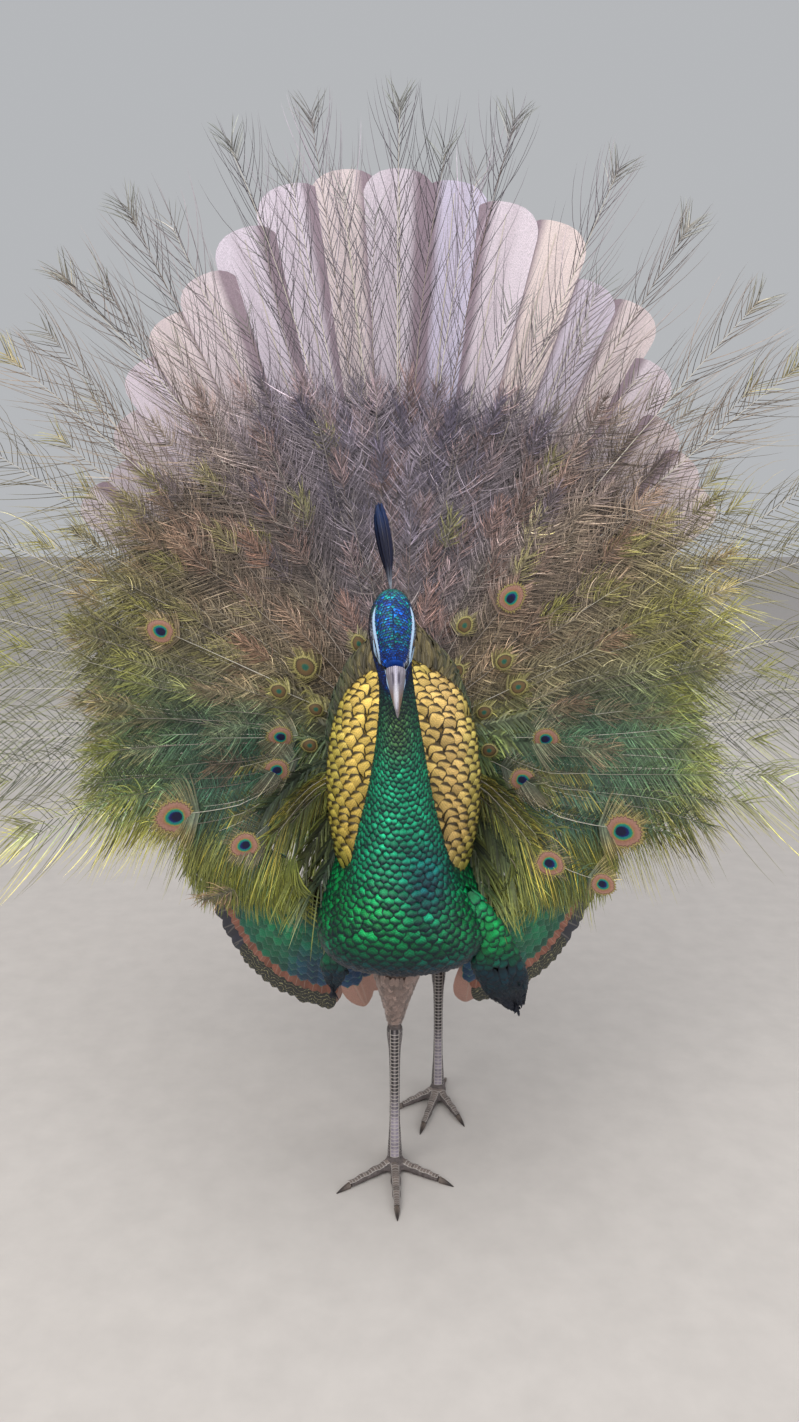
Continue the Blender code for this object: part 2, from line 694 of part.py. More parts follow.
def build_peacock():
    clear_scene()
    bird = bpy.data.objects.new("peacock", None)
    bpy.context.scene.collection.objects.link(bird)
    bird.location = (0.0, CENTRING_Y, 0.0)

    blue = finish_material("crown feathers", (0.02, 0.12, 0.35), 0.45, 0.3)
    green = finish_material("green scale feathers", (0.01, 0.22, 0.10), 0.45, 0.3)
    navy = finish_material("dark body feathers", (0.01, 0.04, 0.08), 0.6)
    gold = finish_material("mantle feathers", (0.55, 0.40, 0.10), 0.5, 0.2)
    teal = finish_material("wing coverts", (0.01, 0.16, 0.16), 0.45, 0.2)
    flight = finish_material("flight feathers", (0.02, 0.05, 0.10), 0.6)
    olive = finish_material("train feathers", (0.16, 0.20, 0.04), 0.6, 0.1)
    blush = finish_material("tail feathers", (0.50, 0.38, 0.36), 0.7)
    scaly = finish_material("leg scales", (0.22, 0.18, 0.15), 0.6)
    horn = finish_material("horn", (0.42, 0.38, 0.34), 0.4)
    wet = finish_material("eyes", (0.02, 0.01, 0.01), 0.08)

    colours = {"head": blue, "neck_upper": green, "neck_lower": green, "breast": green,
               "belly": navy, "rump": navy}
    parts = {name: body_part(name, colours[name], bird) for name in BODY_PARTS}
    head = parts["head"]
    trunk = [parts[name] for name in ("neck_lower", "breast", "belly", "rump")]
    add_eyes(head, bird, wet)
    add_piece("bill_upper", bill_half(True), horn, bird)
    add_piece("bill_lower", bill_half(False), horn, bird)
    crest = add_piece("crest", crest_body(), blue, bird)
    fit_against(crest, [head])

    mantle = add_piece("mantle", stacked_pad(MANTLE_RINGS, BODY_SWAY, 7, 16), gold, bird)
    fit_against(mantle, [parts["neck_upper"]] + trunk)
    root = add_piece("train_root", stacked_pad(TRAIN_ROOT_RINGS, 0.0, 5, 14), olive, bird)
    fit_against(root, trunk + [mantle])
    undertail = add_piece("undertail", stacked_pad(UNDERTAIL_RINGS, 0.0, 5, 10), blush, bird)
    fit_against(undertail, trunk)

    for label, rows in FLANK_ROWS.items():
        flank = add_piece("flank_" + label, flank_body(rows), green, bird)
        fit_against(flank, trunk + [mantle])

    add_wings(trunk + [mantle], bird, teal, flight)
    add_train(bird, olive)
    add_tail(bird, blush)
    add_legs(trunk, bird, navy, scaly, horn)


build_peacock()
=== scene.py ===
import math

import bmesh
import bpy
import numpy as np
from mathutils.bvhtree import BVHTree
from mathutils.kdtree import KDTree
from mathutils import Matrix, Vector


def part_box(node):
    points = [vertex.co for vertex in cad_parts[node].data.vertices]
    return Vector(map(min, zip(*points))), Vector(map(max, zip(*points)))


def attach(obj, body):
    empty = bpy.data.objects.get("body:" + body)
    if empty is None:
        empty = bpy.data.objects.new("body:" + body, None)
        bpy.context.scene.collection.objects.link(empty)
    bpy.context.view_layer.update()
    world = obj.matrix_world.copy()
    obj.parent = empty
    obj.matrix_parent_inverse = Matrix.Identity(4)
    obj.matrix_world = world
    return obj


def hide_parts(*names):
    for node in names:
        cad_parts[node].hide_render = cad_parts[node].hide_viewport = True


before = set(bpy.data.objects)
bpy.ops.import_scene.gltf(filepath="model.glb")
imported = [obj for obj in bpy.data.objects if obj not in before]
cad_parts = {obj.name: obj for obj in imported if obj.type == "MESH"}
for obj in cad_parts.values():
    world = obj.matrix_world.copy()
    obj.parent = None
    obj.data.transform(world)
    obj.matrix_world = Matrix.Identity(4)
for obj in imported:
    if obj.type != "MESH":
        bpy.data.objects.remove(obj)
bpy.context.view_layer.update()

# ---- The mounted skin ----------
# A museum peacock is a real skin drawn over a carved form and sewn up underneath. It is one
# thin hide from the bill's base to the toes, dyed by its own plumage, and it lies as far
# under the outline as the feathers rooted in it are deep.

COAT_DEPTH = {"head": 0.0016, "neck_upper": 0.0034, "neck_lower": 0.0045, "breast": 0.0065,
              "belly": 0.0075, "rump": 0.0075, "mantle": 0.0085, "train_root": 0.0075,
              "undertail": 0.0045, "thigh_left": 0.0040, "thigh_right": 0.0040,
              "shank_left": 0.0007, "shank_right": 0.0007, "foot_left": 0.0006,
              "foot_right": 0.0006}
LOFTED = ("head", "neck_upper", "neck_lower", "breast", "belly", "rump")
BODY_SWAY = 0.005
# The body's line from the bill round the throat and back to the vent: the under edge and the
# upper edge of each station, as (y, z), in metres.
BODY_LINE = np.array((
    (-0.210, 0.650, -0.230, 0.667), (-0.201, 0.655, -0.226, 0.683), (-0.191, 0.659, -0.217, 0.705),
    (-0.184, 0.657, -0.203, 0.726), (-0.178, 0.650, -0.184, 0.739), (-0.173, 0.641, -0.160, 0.738),
    (-0.171, 0.629, -0.139, 0.721), (-0.171, 0.610, -0.126, 0.688), (-0.173, 0.578, -0.118, 0.638),
    (-0.178, 0.533, -0.112, 0.578), (-0.186, 0.484, -0.104, 0.518), (-0.197, 0.435, -0.092, 0.470),
    (-0.212, 0.392, -0.066, 0.443), (-0.218, 0.354, -0.029, 0.437), (-0.204, 0.318, 0.011, 0.445),
    (-0.168, 0.294, 0.051, 0.455), (-0.118, 0.278, 0.091, 0.458), (-0.062, 0.268, 0.126, 0.452),
    (-0.002, 0.266, 0.151, 0.440), (0.056, 0.274, 0.168, 0.425), (0.106, 0.308, 0.178, 0.410),
    (0.150, 0.350, 0.184, 0.394)))
BODY_LAST, END_MARGIN = len(BODY_LINE) - 1, 0.04
BODY_REACH = 0.4                           # farther than the body is thick anywhere
SHEET_ROWS, SHEET_COLUMNS = 170, 64
LEFTWARD = (1.0, 0.0, 0.0)                 # the bird's own left
SWAY_AT = ((0, -0.004), (2, -0.006), (4, -0.008), (7, -0.005), (9, 0.0), (12, 0.002), (21, 0.003))


def ease(value):
    value = np.clip(value, 0.0, 1.0)
    return value * value * (3.0 - 2.0 * value)


def dye(red, green, blue):
    return (np.array((red, green, blue)) / 255.0) ** 2.2


def blend(first, second, share):
    share = np.asarray(share)[..., None]
    return first * (1.0 - share) + second * share


def ramp(value, stops):
    """Colour along a row of (value, colour) stops."""
    places = [stop[0] for stop in stops]
    return np.stack([np.interp(value, places, [stop[1][i] for stop in stops])
                     for i in range(3)], -1)


def knot(tree, kind, inputs=(), **settings):
    """A shader node with its settings, and its inputs set or linked."""
    node = tree.nodes.new("ShaderNode" + kind)
    for key, value in settings.items():
        setattr(node, key, value)
    for key, value in dict(inputs).items():
        if isinstance(value, bpy.types.NodeSocket):
            tree.links.new(value, node.inputs[key])
        else:
            node.inputs[key].default_value = value
    return node


def ranged(tree, value, start, end, low=0.0, high=1.0, **settings):
    """The value's stretch from start to end, laid over low to high."""
    return knot(tree, "MapRange", {0: value, 1: start, 2: end, 3: low, 4: high},
                **settings).outputs[0]


def own_dye(tree):
    """The colour that a piece carries on its own points."""
    return knot(tree, "Attribute", attribute_name="plumage").outputs["Color"]


def new_finish(name, **sockets):
    """A material, its node tree and its shader, with these values on the shader's sockets."""
    finish = bpy.data.materials.new(name)
    finish.use_nodes = True
    tree = finish.node_tree
    shader = tree.nodes["Principled BSDF"]
    for socket, value in sockets.items():
        shader.inputs[socket.replace("_", " ").title()].default_value = value
    return finish, tree, shader


def mottle(tree, colour, size, low, high):
    """The colour made darker and lighter in soft blotches of about this size in metres."""
    place = knot(tree, "NewGeometry").outputs["Position"]
    blotch = knot(tree, "TexNoise", {"Vector": place, "Scale": 1.0 / size, "Detail": 3.0,
                                     "Roughness": 0.6})
    return knot(tree, "VectorMath", {0: colour, "Scale": ranged(
        tree, blotch.outputs[0], 0.3, 0.7, low, high)}, operation="SCALE").outputs[0]


def bumped(tree, shader, height, depth, strength=0.6):
    bump = knot(tree, "Bump", {"Height": height, "Distance": depth, "Strength": strength})
    tree.links.new(bump.outputs[0], shader.inputs["Normal"])


def mottled_finish(name, size, low, high, colour=None, **sockets):
    """A finish in soft blotches of one colour, or of the colours that the piece carries."""
    finish, tree, shader = new_finish(name, **sockets)
    tint = own_dye(tree) if colour is None else knot(tree, "RGB").outputs[0]
    if colour is not None:
        tint.default_value = (*colour, 1.0)
    tree.links.new(mottle(tree, tint, size, low, high), shader.inputs["Base Color"])
    return finish, tree, shader


def make_piece(name, points, faces, finish, slot, patch, **marks):
    """A mesh piece with its OFBake map and its marks: plumage is a colour, others vectors."""
    faces, count = np.asarray(faces, np.int32), points.size // 3
    mesh = bpy.data.meshes.new(name)
    mesh.vertices.add(count)
    mesh.vertices.foreach_set("co", np.asarray(points, np.float32).ravel())
    mesh.loops.add(faces.size)
    mesh.loops.foreach_set("vertex_index", faces.ravel())
    mesh.polygons.add(len(faces))
    mesh.polygons.foreach_set("loop_start",
                              np.arange(0, faces.size, faces.shape[1], dtype=np.int32))
    mesh.polygons.foreach_set("use_smooth", np.ones(len(faces), bool))
    mesh.update(calc_edges=True)
    bake = mesh.uv_layers.new(name="OFBake")
    patch = np.asarray(patch, np.float32).reshape(-1, 2)
    bake.data.foreach_set("uv", patch[faces.ravel()].ravel())
    for label, values in marks.items():
        if label == "plumage":
            paint = mesh.attributes.new(label, "FLOAT_COLOR", "POINT")
            full = np.ones((count, 4), np.float32)
            full[:, :3] = values.reshape(-1, 3)
            paint.data.foreach_set("color", full.ravel())
        else:
            mark = mesh.attributes.new(label, "FLOAT_VECTOR", "POINT")
            mark.data.foreach_set("vector", np.asarray(values, np.float32).ravel())
    mesh.materials.append(finish)
    piece = bpy.data.objects.new(name, mesh)
    bpy.context.scene.collection.objects.link(piece)
    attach(piece, "root")
    return piece


def welded(names, grow=0.0):
    """Points, triangles and owner of each triangle of several CAD solids, swollen by grow."""
    points, faces, owners, first = [], [], [], 0
    for number, name in enumerate(names):
        solid = bmesh.new()
        solid.from_mesh(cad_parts[name].data)
        bmesh.ops.remove_doubles(solid, verts=solid.verts, dist=1e-5)
        bmesh.ops.triangulate(solid, faces=solid.faces)
        solid.normal_update()
        points += [tuple(v.co + v.normal * grow) for v in solid.verts]
        faces += [tuple(first + v.index for v in face.verts) for face in solid.faces]
        owners += [number] * len(solid.faces)
        first += len(solid.verts)
        solid.free()
    return points, faces, owners


def remeshed(names, voxel, grow, smoothing):
    """One closed even mesh round the solids, as points, quads and outward normals."""
    points, faces, _ = welded(names, grow)
    mesh = bpy.data.meshes.new("form")
    mesh.from_pydata(points, [], faces)
    form = bpy.data.objects.new("form", mesh)
    bpy.context.scene.collection.objects.link(form)
    voxels = form.modifiers.new("voxels", "REMESH")
    voxels.mode, voxels.voxel_size = "VOXEL", voxel
    relax = form.modifiers.new("relax", "SMOOTH")
    relax.factor, relax.iterations = 0.5, smoothing
    settled = form.evaluated_get(bpy.context.evaluated_depsgraph_get()).to_mesh()
    shape = np.zeros(len(settled.vertices) * 3)
    settled.vertices.foreach_get("co", shape)
    lean = np.zeros(len(settled.vertices) * 3)
    settled.vertices.foreach_get("normal", lean)
    quads = np.array([tuple(face.vertices) for face in settled.polygons], np.int32)
    bpy.data.objects.remove(form)
    return shape.reshape(-1, 3), quads, lean.reshape(-1, 3)


def smoothed(values, times_over):
    """The values evened out along their first axis, with both ends held."""
    for _ in range(times_over):
        values[1:-1] = (values[:-2] + 2.0 * values[1:-1] + values[2:]) / 4.0
    return values


def unit(vectors):
    return vectors / (np.linalg.norm(vectors, axis=-1, keepdims=True) + 1e-12)


def line_at(line, part):
    """Values along a line of evenly spaced stops, at parts of it from 0 to 1."""
    stops = np.linspace(0.0, 1.0, len(line))
    return np.stack([np.interp(part, stops, axis) for axis in zip(*line)], -1)


def cast_sheet(solid, centres, up, side, columns, outside=0.0):
    """Rings of points on a closed form, each cast outwards from the form's centre line, or
    inwards from this far outside it."""
    turns = np.arange(columns) * 2.0 * np.pi / columns
    reach = np.full((len(centres), columns), np.nan)
    ups, sides = (np.broadcast_to(axis, centres.shape)[:, None] for axis in (up, side))
    rays = np.cos(turns)[None, :, None] * ups + np.sin(turns)[None, :, None] * sides
    for i, centre in enumerate(centres):
        for j, ray in enumerate(rays[i]):
            if outside:
                gone = solid.ray_cast(centre + ray * outside, -ray, outside)[3]
            else:
                gone = solid.ray_cast(centre, ray, BODY_REACH)[3]
            if gone:
                reach[i, j] = outside - gone if outside else gone
    rows = len(centres)
    found = [i for i in range(rows) if not np.isnan(reach[i]).all()]
    reach = reach[[min(found, key=lambda k: abs(k - i)) for i in range(rows)]]
    reach = np.where(np.isnan(reach), np.nanmean(reach, 1, keepdims=True), reach)
    near = np.stack([reach[np.clip(np.arange(rows) + k, 0, rows - 1)] for k in range(-3, 4)])
    usual = np.nanmedian(near, 0)
    reach = np.where(np.abs(reach - usual) < 0.15 * usual, reach, usual)
    for _ in range(3):
        reach = smoothed((np.roll(reach, 1, 1) + 2.0 * reach + np.roll(reach, -1, 1)) / 4.0, 1)
    return centres[:, None] + rays * reach[..., None]


def tree_of(names):
    points, faces, _ = welded(names)
    return BVHTree.FromPolygons(points, faces)


places = np.linspace(END_MARGIN, BODY_LAST - END_MARGIN, SHEET_ROWS)
edges = smoothed(line_at(BODY_LINE, places / BODY_LAST), 4)
sway = np.interp(places, *zip(*SWAY_AT))
under = np.stack([sway, edges[:, 0], edges[:, 1]], -1)
upper = np.stack([sway, edges[:, 2], edges[:, 3]], -1)
BODY_SHEET = cast_sheet(tree_of(LOFTED), (under + upper) / 2.0, unit(upper - under), LEFTWARD,
                        SHEET_COLUMNS)


def place_of_row(row):
    return END_MARGIN + row * (BODY_LAST - 2 * END_MARGIN) / (SHEET_ROWS - 1)


def turn_of_column(column):
    """Degrees round the body from the upper edge, from -180 to 180."""
    turn = column * 360.0 / SHEET_COLUMNS
    return np.where(turn > 180, turn - 360, turn)


WHITE_SKIN = dye(205, 215, 235)
INK = dye(8, 12, 40)
CROWN_BLUE, CROWN_TEAL = dye(8, 92, 214), dye(8, 178, 140)
NECK_STOPS = ((0.298, dye(5, 18, 52)), (0.320, dye(4, 62, 76)), (0.352, dye(4, 130, 72)),
              (0.385, dye(6, 172, 86)), (0.440, dye(6, 172, 118)), (0.520, dye(30, 184, 130)),
              (0.590, dye(20, 140, 92)), (0.640, dye(10, 74, 82)), (0.690, dye(12, 44, 110)))
OLIVE_THROAT, BLUE_PATCH = dye(112, 122, 62), dye(8, 54, 110)
BELLY, RUMP, THIGH = dye(44, 46, 42), dye(96, 78, 60), dye(132, 112, 104)
DOWN_GREY = dye(92, 84, 72)
GOLD, LIME_GOLD, PEACH_GOLD = dye(228, 192, 96), dye(176, 178, 76), dye(232, 190, 124)
ROOT_BRONZE, ROOT_GREEN = dye(84, 74, 44), dye(46, 70, 42)
LEG_GREY, UNDERTAIL = dye(120, 110, 108), dye(66, 58, 56)
HEAD_MIDDLE = -0.0066
# height, distance out from the middle of the face
INNER_STRIPE = ((0.630, 0.0055), (0.655, 0.0108), (0.678, 0.0178), (0.697, 0.0214), (0.711, 0.0212),
                (0.722, 0.0180))
OUTER_STRIPE = ((0.630, 0.0100), (0.653, 0.0142), (0.668, 0.0184), (0.686, 0.0222), (0.703, 0.0242))


def head_marks(place, turn, points):
    """Blue crown, a pale stripe down each side to the bill, an inky band, a pale cheek."""
    away = np.abs(turn)
    edge = np.interp(place, (0, 0.6, 1.5, 3.0, 4.4, 6.5), (30, 46, 52, 54, 60, 74))
    crown = blend(CROWN_BLUE, CROWN_TEAL,
                  ease((place - 3.0) / 1.2) * (1 - ease((away - 18) / 24)) * 0.9)
    low = ramp(points[:, 2], NECK_STOPS)
    colour = blend(crown, low, ease((place - 5.2) / 1.6))
    x, z = np.abs(points[:, 0] - HEAD_MIDDLE), points[:, 2]
    fade = (1 - ease((place - 3.2) / 1.0)) * ease((-0.160 - points[:, 1]) / 0.010)
    inner = np.interp(z, *zip(*INNER_STRIPE))
    outer = np.interp(z, *zip(*OUTER_STRIPE))
    colour = blend(colour, INK, ease((x - inner) / 0.0012) * fade)
    wide = np.interp(z, (0.655, 0.680, 0.700, 0.722), (0.0013, 0.0016, 0.0024, 0.0010))
    stripe = np.exp(-((x - inner) / wide) ** 4) * ease((0.726 - z) / 0.010)
    colour = blend(colour, WHITE_SKIN, stripe * fade)
    cheek = np.exp(-((x - outer) / 0.0011) ** 4) * ease((0.708 - z) / 0.010)
    colour = blend(colour, WHITE_SKIN * 0.8, cheek * fade)
    throat = ease((away - edge - 56) / 8)
    return blend(colour, blend(INK, low, ease((place - 0.5) / 3)), throat * fade)


def neck_marks(place, points):
    x, z = points[:, 0], points[:, 2]
    colour = ramp(z, NECK_STOPS)
    middle = np.exp(-((x + 0.002) / 0.016) ** 2) * ease((z - 0.535) / 0.04) * ease(
        (0.635 - z) / 0.03)
    colour = blend(colour, OLIVE_THROAT, 0.62 * middle)
    patch = np.exp(-((x - 0.030) / 0.030) ** 2 - ((z - 0.415) / 0.045) ** 2)
    colour = blend(colour, BLUE_PATCH, 0.72 * patch)
    corner = np.exp(-((x + 0.080) / 0.022) ** 2 - ((z - 0.285) / 0.018) ** 2)
    colour = blend(colour, BLUE_PATCH * 0.6, 0.7 * corner)
    edge = np.where(x > 0, 0.078 + 0.55 * (0.440 - z), -0.048 - 0.60 * (0.436 - z))
    beside = ease((np.abs(x) - np.abs(edge)) / 0.012) * ease((z - 0.335) / 0.03) * ease(
        (points[:, 1] + 0.165) / 0.03) * ease((0.465 - z) / 0.02)
    colour = blend(colour, DOWN_GREY, beside * 0.85)
    return blend(colour, BELLY, ease((place - 14.6) / 1.6))


def body_marks(place, turn, points):
    """The markings anywhere on the lofted body, from its place along and its turn round."""
    colour = head_marks(place, turn, points)
    colour = blend(colour, neck_marks(place, points), ease((place - 5.6) / 1.2))
    back = blend(BELLY, RUMP, ease((70 - np.abs(turn)) / 40))
    return blend(colour, back, ease((place - 14.6) / 1.4))


def mantle_marks(points):
    x, z = points[:, 0] - BODY_SWAY, points[:, 2]
    colour = blend(GOLD, PEACH_GOLD, ease(x / 0.08 + 0.2) * 0.7)
    rim = ease((np.abs(x) - 0.060) / 0.030)
    low = ease((0.430 - z) / 0.05)
    top = ease((z - 0.600) / 0.04)
    return blend(colour, LIME_GOLD, np.clip(rim * 0.55 + low * 0.5 + top * 0.6, 0, 1))


def root_marks(points):
    away = ease((np.abs(points[:, 0]) - 0.03) / 0.08)
    return blend(ROOT_BRONZE, ROOT_GREEN, away)


def flat_marks(colour):
    return lambda points: np.tile(colour, (len(points), 1))


MARKS = {"mantle": mantle_marks, "train_root": root_marks, "undertail": flat_marks(UNDERTAIL),
         "thigh": flat_marks(THIGH), "shank": flat_marks(LEG_GREY), "foot": flat_marks(LEG_GREY)}

skin_nodes = list(COAT_DEPTH)
skin_points, skin_quads, skin_lean = remeshed(skin_nodes, 0.0024, 0.0005, 5)
near_points, near_faces, near_owner = welded(skin_nodes)
near = BVHTree.FromPolygons(near_points, near_faces)
owner = np.array([near_owner[near.find_nearest(p)[2]] for p in skin_points])
depth = np.array([COAT_DEPTH[name] + 0.0005 for name in skin_nodes])[owner]
finder = KDTree(SHEET_ROWS * SHEET_COLUMNS)
for number, point in enumerate(BODY_SHEET.reshape(-1, 3)):
    finder.insert(point, number)
finder.balance()
nearest = np.array([finder.find(p)[1] for p in skin_points])
colour = body_marks(place_of_row(nearest // SHEET_COLUMNS),
                    turn_of_column(nearest % SHEET_COLUMNS), skin_points)
for number, name in enumerate(skin_nodes):
    mine = owner == number
    if name not in LOFTED and mine.any():
        colour[mine] = MARKS[name.split("_left")[0].split("_right")[0]](skin_points[mine])
sides = np.concatenate([skin_quads[:, (k, (k + 1) % 4)] for k in range(4)])
links = np.bincount(sides[:, 0], minlength=len(skin_points))
for _ in range(12):
    depth = 0.3 * depth + 0.7 * np.bincount(sides[:, 0], depth[sides[:, 1]],
                                            len(skin_points)) / links
skin_points = skin_points - skin_lean * depth[:, None]

skin_finish, tree, shader = mottled_finish("mounted skin", 0.004, 0.45, 0.95, roughness=0.75)
bumped(tree, shader, knot(tree, "TexVoronoi", {"Scale": 650.0}).outputs[0], 0.0004)
skin = make_piece("skin", skin_points, skin_quads, skin_finish, "green_feathers",
                  np.stack([(nearest % SHEET_COLUMNS) / SHEET_COLUMNS,
                            (nearest // SHEET_COLUMNS) / SHEET_ROWS], -1), plumage=colour)
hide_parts(*skin_nodes)

# ---- Eyes and lids ----------
# Each eye is a glass one, a little deeper than it is wide, with a clear bulge over a dark
# brown iris. It sits in the hide, and two bare lids close round it to a narrow almond.

EYE_POLES = {"left": (0.950, -0.300, 0.090), "right": (-0.950, -0.300, 0.090)}
EYE_RINGS, EYE_SIDES = 22, 32
PUPIL, IRIS = 0.115, 0.235                # half angles, as a part of a half turn
LID_HALF_LONG, LID_HALF_TALL = 0.0054, 0.0040
# size round the eye along and across the lids, and how far proud in mm, from the opening out
LID_RIMS = ((0.96, 0.88, 0.10), (1.0, 1.0, 0.62), (1.22, 1.26, 0.72), (1.42, 1.55, 0.18),
            (1.62, 2.00, -1.10))
GOLDEN_TURN = 2.399963


def maths(tree, operation, *values):
    return knot(tree, "Math", dict(enumerate(values)), operation=operation).outputs[0]


def times(tree, first, second):
    return maths(tree, "MULTIPLY", first, second)


def net(rows, columns, closed=True):
    """Quads over a grid of points, row by row, closed round its columns or open."""
    i, j = np.meshgrid(np.arange(rows - 1), np.arange(columns if closed else columns - 1),
                       indexing="ij")
    k = (j + 1) % columns
    return np.stack([i * columns + j, i * columns + k, (i + 1) * columns + k,
                     (i + 1) * columns + j], -1).reshape(-1, 4)


def spread_patch(count):
    """A plain round OFBake map for a piece of its own."""
    turn = np.arange(count) * GOLDEN_TURN
    reach = np.sqrt((np.arange(count) + 0.5) / count) * 0.4
    return np.stack([0.5 + reach * np.cos(turn), 0.5 + reach * np.sin(turn)], -1)


def axes_of(tree, label):
    """The three numbers of a mark that a piece carries on its own points."""
    mark = knot(tree, "Attribute", attribute_name=label).outputs["Vector"]
    return knot(tree, "SeparateXYZ", {0: mark}).outputs


def ring_ramp(tree, place, stops):
    """Rings of colour from (place, colour) stops."""
    ring = knot(tree, "ValToRGB", {0: place})
    slots = ring.color_ramp.elements
    slots[0].position, slots[0].color = stops[0][0], (*stops[0][1], 1.0)
    slots[1].position, slots[1].color = stops[-1][0], (*stops[-1][1], 1.0)
    for where, shade in stops[1:-1]:
        slots.new(where).color = (*shade, 1.0)
    return ring.outputs[0]


glass, tree, shader = new_finish("glass eye", roughness=0.06, coat_weight=1.0,
                                 coat_roughness=0.02)
gaze = axes_of(tree, "gaze")
rays = knot(tree, "TexNoise", {"Scale": 3.0, "Vector": knot(
    tree, "CombineXYZ", {0: times(tree, gaze[1], 26.0), 1: gaze[0]}).outputs[0]}).outputs[0]
tree.links.new(ring_ramp(tree, maths(tree, "ADD", gaze[0], times(tree, rays, 0.02)), (
    (PUPIL, (0.002, 0.002, 0.003)), (PUPIL + 0.02, (0.075, 0.028, 0.010)),
    (IRIS - 0.02, (0.120, 0.050, 0.016)), (IRIS, (0.010, 0.006, 0.005)),
    (IRIS + 0.06, (0.35, 0.33, 0.32)))), shader.inputs["Base Color"])

lid_hide, tree, shader = mottled_finish("bare lid", 0.0012, 0.6, 1.5, dye(34, 40, 62),
                                        roughness=0.55)
bumped(tree, shader, knot(tree, "TexVoronoi", {"Scale": 1500.0}).outputs[0], 0.0002)

EYE_CENTRES = {}
for label, pole in EYE_POLES.items():
    low, high = (np.array(corner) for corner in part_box("eye_" + label))
    centre, radius = (low + high) / 2.0, (high - low)[2] / 2.0
    pole = unit(np.array(pole))
    across = unit(np.cross((0.0, 0.0, 1.0), pole))
    rise = np.cross(pole, across)
    EYE_CENTRES[label] = (centre, pole)
    tilt = np.linspace(0.001, np.pi - 0.001, EYE_RINGS)[:, None]
    turn = np.arange(EYE_SIDES)[None] * 2.0 * np.pi / EYE_SIDES
    swell = radius * (0.96 + 0.07 * np.exp(-(tilt / 0.62) ** 4))
    ball = (centre + (swell * np.cos(tilt))[..., None] * pole +
            (swell * np.sin(tilt) * np.cos(turn))[..., None] * across +
            (swell * np.sin(tilt) * np.sin(turn))[..., None] * rise)
    gaze = np.stack([np.broadcast_to(tilt / np.pi, ball.shape[:2]),
                     np.broadcast_to(np.abs(turn / np.pi - 1.0), ball.shape[:2]),
                     np.zeros(ball.shape[:2])], -1)
    eyeball = make_piece("eyeball_" + label, ball, net(EYE_RINGS, EYE_SIDES), glass, "eye",
                         spread_patch(ball.size // 3), gaze=gaze)
    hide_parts("eye_" + label)
    lid = np.zeros((len(LID_RIMS), EYE_SIDES, 3))
    for i, (long, tall, proud) in enumerate(LID_RIMS):
        x, y = (LID_HALF_LONG * long * np.cos(turn[0]),
                LID_HALF_TALL * tall * np.sin(turn[0]) * (1 - 0.18 * np.cos(turn[0]) ** 2))
        out = np.sqrt(np.maximum((radius * 0.985) ** 2 - x ** 2 - y ** 2, 1e-6)) + proud * 0.001
        lid[i] = centre + x[:, None] * across + y[:, None] * rise + out[:, None] * pole
    make_piece("eyelids_" + label, lid, net(len(LID_RIMS), EYE_SIDES), lid_hide, "eye",
               spread_patch(lid.size // 3))

# ---- Bare stripes of the face ----------
# Two narrow lines of bare pale skin run down each side of the face, one from over the eye to
# the side of the bill and one over the cheek. They are low soft welts among the feathers.

# height, distance out from the middle of the face, half width
WELTS = {"brow": ((0.720, 0.0184, 0.0003), (0.710, 0.0202, 0.0012), (0.698, 0.0204, 0.0018),
                  (0.683, 0.0174, 0.0014), (0.668, 0.0146, 0.0012), (0.655, 0.0118, 0.0011),
                  (0.643, 0.0084, 0.0009), (0.634, 0.0064, 0.0003)),
         "cheek": ((0.687, 0.0216, 0.0003), (0.676, 0.0200, 0.0009), (0.664, 0.0172, 0.0010),
                   (0.652, 0.0146, 0.0004))}
WELT_STATIONS, WELT_ACROSS, WELT_HIGH = 34, np.linspace(-1.0, 1.0, 7), 0.0019
BILL_SIDE = 0.656                          # under this height the welts lie beside the bill
BACKWARD = (0.0, 1.0, 0.0)
bare_skin, tree, shader = mottled_finish("bare face skin", 0.0010, 0.85, 1.08,
                                         dye(176, 208, 240), roughness=0.5)
bumped(tree, shader, knot(tree, "TexVoronoi", {"Scale": 1800.0}).outputs[0], 0.00012)
face_solid = tree_of(["head", "bill_upper", "bill_lower"])
for name, welt in WELTS.items():
    for label, side in (("left", 1.0), ("right", -1.0)):
        height, out, half = line_at(welt, np.linspace(0.0, 1.0, WELT_STATIONS)).T
        middle = HEAD_MIDDLE + 0.04 * (0.711 - height)
        path = np.zeros((WELT_STATIONS, 3))
        for i, (x, z) in enumerate(zip(middle + side * out, height)):
            place = face_solid.ray_cast((x, -0.35, z), BACKWARD)[0]
            if place is None or z < BILL_SIDE:
                place = face_solid.find_nearest((x, -0.219 - 0.55 * (BILL_SIDE - z), z))[0]
            path[i] = place
        path = smoothed(path, 4)
        heading = np.gradient(path, axis=0)
        swell = WELT_HIGH * (1 - WELT_ACROSS ** 2) * np.minimum(1, half / 0.0009)[:, None] - 0.0002
        strip = np.zeros((WELT_STATIONS, len(WELT_ACROSS), 3))
        for i in range(WELT_STATIONS):
            beside = unit(np.cross(heading[i], face_solid.find_nearest(path[i])[1]))
            for j, across in enumerate(WELT_ACROSS):
                place, lean, _, _ = face_solid.find_nearest(path[i] + beside * across * half[i] * 1.2)
                strip[i, j] = np.array(place) + np.array(lean) * swell[i, j]
        make_piece("face_stripe_" + name + "_" + label, smoothed(strip, 2),
                   net(WELT_STATIONS, len(WELT_ACROSS), False), bare_skin, "crown_feathers",
                   spread_patch(strip.size // 3))

